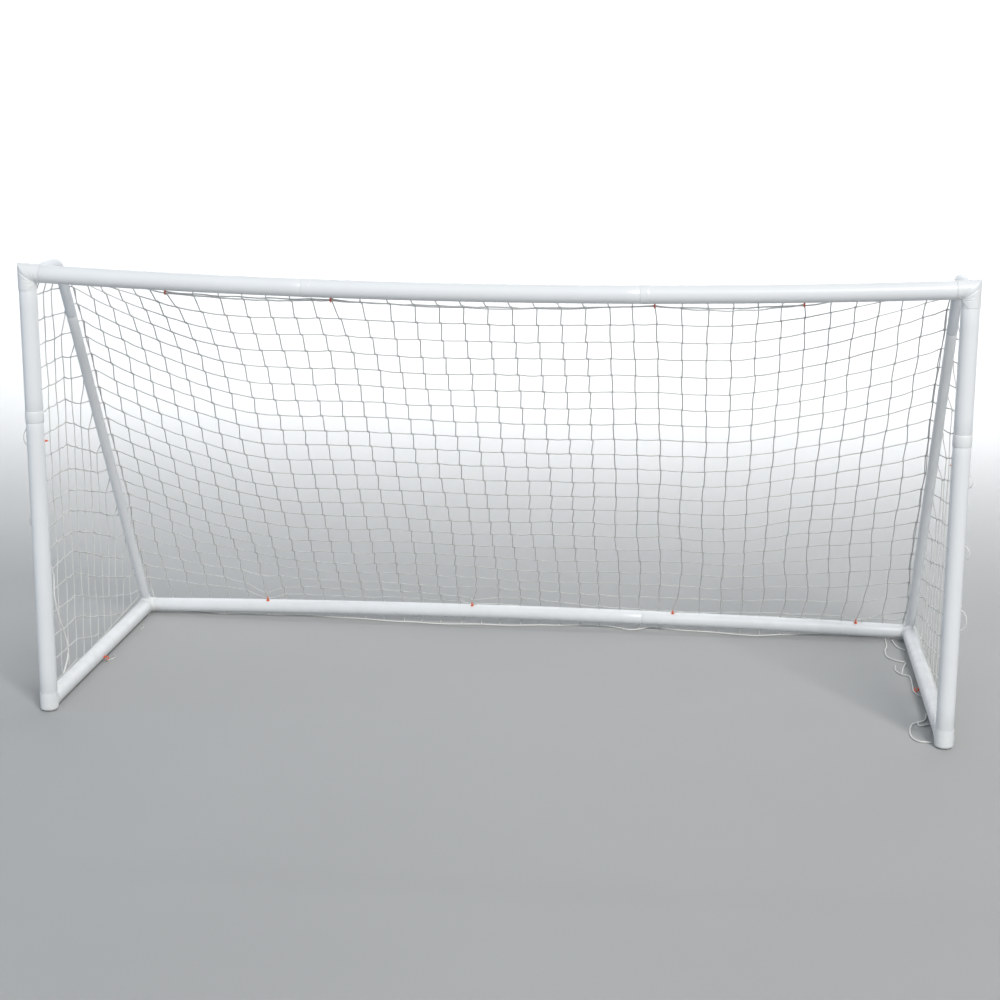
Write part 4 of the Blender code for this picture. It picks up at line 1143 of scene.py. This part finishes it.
def lay_values(length, sides):
    """What a cord's material reads: the length along the cord and the direction round it."""
    return length[:, None, None] * X + spokes(sides, Y, Z)


def lay_cord(shape, points, radius, sides=6, spacing=0.017):
    """A laid cord through control points."""
    line = cleared(smooth(points, spacing), radius)
    gaps = np.linalg.norm(np.diff(line, axis=0), axis=1)
    line = line[np.concatenate([[True], gaps > 0.0012])]
    if len(line) < 2:
        return
    length = np.concatenate([[0], np.cumsum(np.linalg.norm(np.diff(line, axis=0), axis=1))])
    shape.skin(ring_set(line, radius, sides), lay=lay_values(length, sides))


def knot_template():
    """A small overhand knot as rings of points."""
    t = np.linspace(0, TAU, 16, endpoint=False)
    out = 2 + np.cos(3 * t)
    line = np.stack([out * np.cos(2 * t), out * np.sin(2 * t), 1.15 * np.sin(3 * t)], 1) * 0.00135
    rings = []
    for index, place in enumerate(line):
        way = unit(line[(index + 1) % len(line)] - line[index - 1])
        side = unit(np.cross(way, unit(place + Z * 0.004)))
        rings.append(place + 0.00165 * spokes(5, side, np.cross(way, side)))
    return np.array(rings), lay_values(np.linspace(0, 0.06, len(line)), 5)


KNOT_RINGS, KNOT_LAY = knot_template()


def tie_knot(shape, place, normal):
    """One knot where two cords cross."""
    normal = unit(normal)
    side = unit(np.cross(normal, Z if abs(normal[2]) < 0.9 else X))
    up = np.cross(normal, side)
    spin = RNG.uniform(0, TAU)
    first = side * math.cos(spin) + up * math.sin(spin)
    second = np.cross(normal, first)
    turn = np.array([first, second, normal]) * RNG.uniform(0.92, 1.12)
    shape.skin(KNOT_RINGS @ turn + place, wrap=True, lay=KNOT_LAY)


def strand(places, sways):
    """A strand's way through its knots, which it enters and leaves a little to one side."""
    path = []
    for index, (place, sway) in enumerate(zip(places, sways)):
        if index:
            path.append(place + (places[index - 1] - place) * BEND_SHARE - sway)
        path.append(place)
        if index < len(places) - 1:
            path.append(place + (places[index + 1] - place) * BEND_SHARE + sway)
    return path


def sagging(places, least, most, factor=1.0):
    """A row's way through its knots, with a small random sag between them."""
    path = [places[0]]
    for before, place in zip(places[:-1], places[1:]):
        path += [(before + place) / 2 - Z * (RNG.uniform(least, most) * factor), place]
    return path


def draw_rows(grid, k, width, move, parts):
    """Move rows of knots near a column, each by its part of the move."""
    pull = np.exp(-((COLUMN_X - COLUMN_X[k]) / width) ** 2)[:, None]
    for v, part in parts.items():
        grid[:, v] += move * part * pull


def make_grid():
    """All knots of the back net, by column and row, and how far each column's strand leans."""
    grid = np.array([[net_knot(k, v) for v in range(ROWS)] for k in range(COLUMNS)])
    # Slow waves and small errors of tying, more of them where the net is slack
    waves = RNG.normal(0, 1, (COLUMNS + 6, ROWS + 6, 2))
    kernel = np.array((0.1, 0.25, 0.3, 0.25, 0.1))
    for axis in (0, 1):
        waves = np.apply_along_axis(lambda row: np.convolve(row, kernel, mode="same"), axis, waves)
    waves = waves[3:-3, 3:-3] / waves.std()
    down = np.linspace(0, 1, ROWS)[None, :]
    free = ease(down * 5) * ease((1.02 - down) * 8)
    size = (0.0030 + 0.0065 * ease((down - 0.45) / 0.55)) * free
    jitter = RNG.normal(0, 0.0013, (COLUMNS, ROWS, 2)) * free[:, :, None]
    grid[:, :, 0] += waves[:, :, 0] * size * 0.8 + jitter[:, :, 0]
    shift = waves[:, :, 1] * size + jitter[:, :, 1]
    grid += shift[:, :, None] * BRACE_WAY
    # The strands lean to the right as they leave the crossbar, and sway back lower down
    left_part = ease((COLUMN_X + 1.75) / 0.25)
    lean = left_part * (1 - ease((COLUMN_X + 0.1) / 1.3))
    grid[:, 0, 0] -= 0.034 * lean
    for v, move in enumerate((-0.018, -0.013, -0.006, 0.0, 0.006, 0.008, 0.009, 0.008, 0.006, 0.003), 1):
        grid[:, v, 0] += move * left_part * (1 - ease((COLUMN_X + 1.0) / 0.9))
    # The hooks hold the head cord, and draw the last rows down to the rear bar
    for x in CROSS_HOOKS:
        k = int(round((x - LEFT_EDGE) / COLUMN_STEP))
        draw_rows(grid, k, 0.10, crossbar_point(x) + HEAD - grid[k, 1], {1: 1.0, 2: 0.45, 3: 0.2, 4: 0.08})
    for x in REAR_HOOKS:
        target = rear_bar_point(x) + slanted(REAR_HOOK_TILT, Z, -Y) * (REAR_R + RING_HEIGHT + 0.0023)
        k = int(round((x - LEFT_EDGE) / COLUMN_STEP))
        row = ROWS - 2 if x > 0.3 else ROWS - 1
        move = target - grid[k, row]
        if row == ROWS - 1:
            above = target + at(0, -0.004, 0.010) - grid[k, row - 1]
            draw_rows(grid, k, 0.085, above, {row - 1: 0.75, row - 2: 0.28, row - 3: 0.10})
        else:
            draw_rows(grid, k, 0.085, move, {row - 1: 0.40, row - 2: 0.15})
        draw_rows(grid, k, 0.075, move, {row: 1.0})
    return grid, lean


def strand_path(grid, k, lean):
    """The way of one strand from the crossbar down to the hem."""
    x = COLUMN_X[k]
    if x < 0.45:
        path = strand(grid[k], [X * 0.0034] * ROWS)
    else:
        path = strand(grid[k], [X * -0.0013 * (-1) ** (k + v) for v in range(ROWS)])
    top = grid[k, 0]
    if abs(x) < 1.2:
        path[1] = crossbar_point(x) * (0, 1, 1) + (top[0] + 0.008 * lean[k], 0.0375, -0.024)
    else:
        path[1] = (top + grid[k, 1]) / 2 + BRACE_OUT * 0.004
    hem_y = float(np.interp(x, HEM_X, HEM_Y))
    axis = rear_bar_point(x)
    if path[-1][2] > axis[2] + 0.02:
        path.append(axis + at(0, 0.0385, 0.004))
    path.append(at(x, axis[1] + 0.036, 0.012))
    path.append(at(x + RNG.normal(0, 0.003), hem_y + 0.012, LOOP_Z))
    path.append(at(x + RNG.normal(0, 0.003), hem_y, LOOP_Z))
    return path


def make_back_net(borders):
    """The net from the crossbar to the rear bar, its rows tucked under the stubs and lifted over the
    stanchions.
    """
    grid, lean = make_grid()
    shape = Shape()
    for k in range(COLUMNS):
        lay_cord(shape, strand_path(grid, k, lean), CORD_R)
    for v in range(1, ROWS):
        path = edge_wrap(-1, edge_distance(-1, v))[::-1]
        path += sagging(grid[:, v], -0.0012, 0.0030, 1.6 if v > 15 else 1.0)
        path += edge_wrap(1, edge_distance(1, v))
        if v > 1:
            lay_cord(shape, path, CORD_R)
        else:
            lay_cord(borders, path, BORDER_R, 8)
        for k in range(COLUMNS):
            tie_knot(shape, cleared(grid[k, v][None], 0.004)[0], BRACE_OUT)
    settle(shape.made("back_net_cords", 60, "lay"), CORD, ["back_net"])
    return grid


def lay_border(shape, points, radius=BORDER_R, spacing=0.02):
    """A border cord, rounder in section than the net's own."""
    lay_cord(shape, points, radius, 8, spacing)


def make_border_cords(shape, grid):
    """Thicker cords: along the crossbar, beside the stanchions and along the hem."""
    head = edge_wrap(-1, edge_distance(-1, 0))[::-1] + list(grid[:, 0]) + edge_wrap(1, edge_distance(1, 0))
    lay_border(shape, head)
    # A slack second cord between the hooks under the crossbar
    for start, end, sag in zip(CROSS_HOOKS[:-1], CROSS_HOOKS[1:], (-0.004, 0.013, 0.016)):
        path = []
        for share in np.linspace(0, 1, 15):
            drop = sag * 4 * share * (1 - share) + 0.0022 * math.sin(9 * share * math.pi + start)
            path.append(head_point(start + (end - start) * share) + at(0, 0.004, 0.004 - drop * 0.8))
        lay_border(shape, path, SLACK_CORD_R)
    hem = []
    for x in np.linspace(-1.835, 1.835, 76):
        hem.append(at(x, float(np.interp(x, HEM_X, HEM_Y)) + 0.004 * math.sin(x * 23.0), HEM_Z))
    lay_border(shape, hem, HEM_R)
    for side, k in ((-1, 0), (1, COLUMNS - 1)):
        edge = []
        for place in grid[k]:
            edge.append(place + X * side * 0.004 + BRACE_OUT * 0.0035 + X * RNG.normal(0, 0.0015))
        edge += [at(side * 1.765, NET_BACK - 0.002, 0.030), at(side * 1.765, NET_BACK - 0.004, 0.006)]
        lay_border(shape, edge, EDGE_CORD_R)


SIDE_COLUMNS = 14
SIDE_ROWS = 19
SIDE_COLUMN = 0.0935
SIDE_STEP = 0.0975
SIDE_ROW_STEP = 0.0945
SIDE_FRONT = 0.052
SIDE_TOP = 1.757
# Loose front edges by depth and height, and post ties by height, reach and bulge
LOOSE = {
    "left": ((0.060, 0.700), (0.120, 0.655), (0.209, 0.563), (0.246, 0.497), (0.244, 0.409), (0.296, 0.289),
             (0.346, 0.216), (0.381, 0.123), (0.296, 0.044), (0.213, 0.005), (0.120, 0.0045)),
    "right": ((0.060, 0.560), (0.110, 0.470), (0.190, 0.380), (0.262, 0.260), (0.330, 0.170), (0.300, 0.075),
              (0.205, 0.012), (0.130, 0.0045)),
}
TIES = {
    "left": ((1.131, 0.040, 0.0150), (0.793, 0.029, 0.0095), (0.440, 0.020, 0.0040)),
    "right": ((1.058, 0.029, 0.0120), (0.778, 0.029, 0.0170), (0.510, 0.043, 0.0220)),
}


def stanchion_depth(z):
    """The depth of a side net's rear edge at a height."""
    return min(STUB_DEPTH + (HEIGHT - z) * BRACE_WAY[1] / -BRACE_WAY[2] + 0.022, NET_BACK)


def brace_way_along(z):
    """The distance along a stub and stanchion at which it passes a height."""
    return STUB_DEPTH + max(0.0, (HEIGHT - z) / -BRACE_WAY[2])


def behind_brace(side, s):
    """A place behind a stanchion, on its outer half, where the side net is laced."""
    return brace_place(min(s, LACE_END), BRACE_R) + X * side * (HALF_WIDTH + LACE_OUT)


def make_side_net(label, side, borders):
    """The net beside the frame, from the post to the stanchion, hung from the stub."""
    shape = Shape()
    plane = side * NET_SIDE
    # Rows fall towards the back, from a certain depth on
    fall, level = (0.30, 0.50) if side < 0 else (0.20, 0.25)
    knots = {}
    for j in range(SIDE_COLUMNS):
        for r in range(SIDE_ROWS):
            y = SIDE_COLUMN + SIDE_STEP * j
            z = SIDE_TOP + 0.005 - SIDE_ROW_STEP * r - fall * max(0.0, y - level)
            z += 0.006 * math.sin(y * 5.2 + r * 0.9)
            y += 0.006 * math.sin(z * 9.0 + j) * ease((1.5 - z) / 1.0)
            if 0.028 < z < HEIGHT - 0.02 and y < stanchion_depth(z) - 0.034:
                billow = 0.0035 * abs(math.sin(j * 1.3 + r * 0.8))
                place = at(plane + side * billow, y + RNG.normal(0, 0.0025), z + RNG.normal(0, 0.0025))
                knots[j, r] = place
                tie_knot(shape, place, X * side)
    for j in range(SIDE_COLUMNS):
        found = [knots[j, r] for r in range(SIDE_ROWS) if (j, r) in knots]
        if not found:
            continue
        y = found[0][1]
        if y < STUB_DEPTH + 0.02:
            path = [at(side * (HALF_WIDTH + 0.0120), y, HEIGHT - 0.0245)]
        else:
            path = [behind_brace(side, STUB_DEPTH + (y - 0.010 - STUB_DEPTH) / BRACE_WAY[1])]
        path += strand(found, [Y * -0.0025 * (-1) ** index for index in range(len(found))])
        path.append(at(plane, found[-1][1] + RNG.normal(0, 0.004), 0.0050))
        lay_cord(shape, path, CORD_R)
    for r in range(SIDE_ROWS):
        found = [knots[j, r] for j in range(SIDE_COLUMNS) if (j, r) in knots]
        if not found:
            continue
        path = [at(plane, SIDE_FRONT, found[0][2] - 0.002)]
        path += sagging(found, 0, 0.004)
        path.append(behind_brace(side, brace_way_along(found[-1][2] - 0.012)))
        lay_cord(shape, path, CORD_R)
    settle(shape.made("side_net_cords_" + label, 60, "lay"), CORD, ["side_net_" + label])
    front = [at(plane, SIDE_FRONT + 0.003 * math.sin(z * 17), z) for z in np.linspace(SIDE_TOP, 0.02, 26)]
    lay_border(borders, front, CORD_R)
    top = [at(plane, SIDE_FRONT, SIDE_TOP)]
    for s, out, across in ((0.12, -0.0265, 0.0110), (0.20, -0.0265, 0.0110), (0.28, -0.0265, 0.0110),
                           (0.33, -0.0140, 0.0250), (0.40, -0.0140, 0.0250)):
        top.append(brace_place(s, out) + X * side * (HALF_WIDTH + across))
    top += [behind_brace(side, s) for s in np.arange(0.50, STUB_DEPTH + BRACE_LENGTH - 0.07, 0.09)]
    top += [at(plane, NET_BACK - 0.004, 0.040), at(plane, NET_BACK - 0.004, 0.0050)]
    lay_border(borders, top)
    ground = [at(plane + side * 0.004 * math.sin(y * 14), y, HEM_Z) for y in np.linspace(0.12, NET_BACK, 22)]
    lay_border(borders, ground)
    loose = [at(side * (NET_SIDE + 0.001 + 0.004 * abs(math.sin(3 * y))), y, z) for y, z in LOOSE[label]]
    lay_border(borders, loose, 0.0036, 0.015)


def make_ties(label, side, borders):
    """Cord loops that tie the net to a post: they come from behind it and stand off its outer side."""
    inner = side * (NET_SIDE - 0.002)
    for height, reach, bulge in TIES[label]:
        path = [at(inner, SIDE_FRONT, height - reach - 0.012)]
        for angle in np.linspace(-math.pi / 2, math.pi / 2, 13):
            swell = math.cos(angle)
            out = side * (HALF_WIDTH + 0.0290 + (0.0075 + bulge) * swell)
            path.append(at(out, 0.0300 - 0.0230 * swell, height + reach * math.sin(angle)))
        path.append(at(inner, SIDE_FRONT, height + reach + 0.010))
        lay_cord(borders, path, 0.0022, 6, 0.008)


# Cords on the ground, by X and Y: slack inside the right side bar, and two short ends on the left
GROUND_LOOPS = (
    ((1.687, 1.385), (1.683, 1.269), (1.671, 1.213), (1.676, 1.114), (1.712, 1.068), (1.747, 1.048)),
    ((1.716, 1.374), (1.730, 1.271), (1.763, 1.224)),
    ((1.746, 1.033), (1.728, 0.960), (1.716, 0.876)),
    ((1.697, 0.995), (1.694, 0.924), (1.716, 0.876), (1.744, 0.856), (1.747, 0.741), (1.745, 0.651),
     (1.761, 0.600), (1.774, 0.597)),
    ((1.768, 0.375), (1.751, 0.290), (1.721, 0.266), (1.699, 0.243), (1.681, 0.160), (1.683, 0.083),
     (1.705, 0.045), (1.730, 0.040), (1.752, 0.038)),
    ((1.721, 0.266), (1.724, 0.226), (1.750, 0.236), (1.772, 0.248)),
)
GROUND_ENDS = (
    ((-1.752, 1.180), (-1.741, 1.150), (-1.748, 1.120)),
    ((-1.757, 0.640), (-1.735, 0.690), (-1.752, 0.730)),
)


def make_ground_loops(borders):
    """The slack cord of the net's lower edge."""
    for loop in GROUND_LOOPS:
        lay_border(borders, [at(x, y, LOOP_Z) for x, y in loop], LOOP_R, 0.012)
    for loop in GROUND_ENDS:
        lay_cord(borders, [at(x, y, 0.0034) for x, y in loop], 0.0020, 6, 0.010)


# Floor, light and camera


def make_floor():
    """A plain pale sweep that turns up far behind the goal."""
    profile = [(-14.0, 0.0), (7.0, 0.0)]
    for angle in np.linspace(0, math.pi / 2, 13):
        profile.append((7.0 + 5.0 * math.sin(angle), 5.0 - 5.0 * math.cos(angle)))
    profile.append((12.0, 14.0))
    points = []
    for y, z in profile:
        points += [(-22, y, z), (22, y, z)]
    shape = Shape()
    shape.add(points, [[2 * i, 2 * i + 1, 2 * i + 3, 2 * i + 2] for i in range(len(profile) - 1)])
    obj = shape.made("floor", 80)
    look = Look("pale_floor")
    base = look.mix(look.ramp(look.noise(0.35), 0.3, 0.7), (0.41, 0.412, 0.412), (0.43, 0.432, 0.432))
    base = look.cover(base, (look.noise(60.0), 0.06, (0.34, 0.34, 0.34)))
    base = look.mix(look.ramp(look.split(look.place)[1], 1.2, 7.0), base, (0.72, 0.72, 0.72))
    look.set(Base_Color=base, Roughness=0.75, Specular_IOR_Level=0.2)
    obj.data.materials.append(look.material)


def aim(obj, target):
    way = Vector(target) - obj.location
    obj.rotation_euler = way.to_track_quat("-Z", "Y").to_euler()


def make_lights():
    """A soft key from above and the right front, a wide fill and a pale surround."""
    for name, place, size, target, power, colour in (
            ("key", (7.8, -16.6, 15.2), (7.2, 7.2), (0, 0, 0.6), 4250.0, (1.0, 0.985, 0.955)),
            ("top", (0.0, 0.0, 7.0), (9.0, 6.0), (0, 0, 0.6), 20.0, (0.97, 0.985, 1.0)),
            ("fill", (-8.5, -4.0, 3.5), (5.0, 5.0), (0, 0, 0.6), 110.0, (0.66, 0.82, 1.0)),
            ("back", (0.0, 5.5, 9.0), (16.0, 2.0), (0, 12.0, 3.0), 1150.0, (0.98, 0.99, 1.0))):
        data = bpy.data.lights.new(name, "AREA")
        data.shape = "RECTANGLE"
        data.size, data.size_y = size
        data.energy = power
        data.color = colour
        light = bpy.data.objects.new(name, data)
        light.location = place
        bpy.context.scene.collection.objects.link(light)
        aim(light, target)
    world = bpy.data.worlds.new("studio")
    world.use_nodes = True
    back = world.node_tree.nodes["Background"]
    back.inputs["Color"].default_value = (0.80, 0.90, 1.0, 1)
    back.inputs["Strength"].default_value = 0.30
    bpy.context.scene.world = world
    bpy.context.scene.view_settings.view_transform = "Standard"


def make_camera():
    """The camera at the photograph's viewing angle."""
    data = bpy.data.cameras.new("camera")
    data.lens = 69.2295
    data.sensor_width = 36.0
    data.sensor_fit = "HORIZONTAL"
    data.clip_end = 200
    yaw, pitch, roll = (math.radians(angle) for angle in (6.1958, 13.3057, 0.2753))
    ahead = Vector((-math.sin(yaw) * math.cos(pitch), math.cos(yaw) * math.cos(pitch), -math.sin(pitch)))
    right = Vector((math.cos(yaw), math.sin(yaw), 0))
    up = right.cross(ahead)
    right, up = (right * math.cos(roll) + up * math.sin(roll), up * math.cos(roll) - right * math.sin(roll))
    camera = bpy.data.objects.new("camera", data)
    turn = Matrix((right, up, -ahead)).transposed().to_4x4()
    camera.matrix_world = Matrix.Translation((0.8361, -7.2128 - MIDDLE_DEPTH, 2.6525)) @ turn
    bpy.context.scene.collection.objects.link(camera)
    bpy.context.scene.camera = camera


make_camera()
make_floor()
make_lights()
make_tubes()
for side_label, side_sign in SIDES:
    make_collar(side_label, side_sign)
    make_top_corner(side_label, side_sign)
    make_foot(side_label, side_sign)
    make_rear_corner(side_label, side_sign)
make_buttons()
make_hooks()
border_shape = Shape()
knots = make_back_net(border_shape)
make_border_cords(border_shape, knots)
for side_label, side_sign in SIDES:
    make_side_net(side_label, side_sign, border_shape)
    make_ties(side_label, side_sign, border_shape)
make_ground_loops(border_shape)
settle(border_shape.made("net_border_cords", 60, "lay"), ROPE, [])
for hidden in ("crossbar_coupler_left", "crossbar_coupler_right", "rear_bar_coupler",
               "side_bar_coupler_left", "side_bar_coupler_right"):
    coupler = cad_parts[hidden]
    if not coupler.data.materials:
        coupler.data.materials.append(ZINC)
    for index in range(len(coupler.material_slots)):
        coupler.material_slots[index].material = ZINC
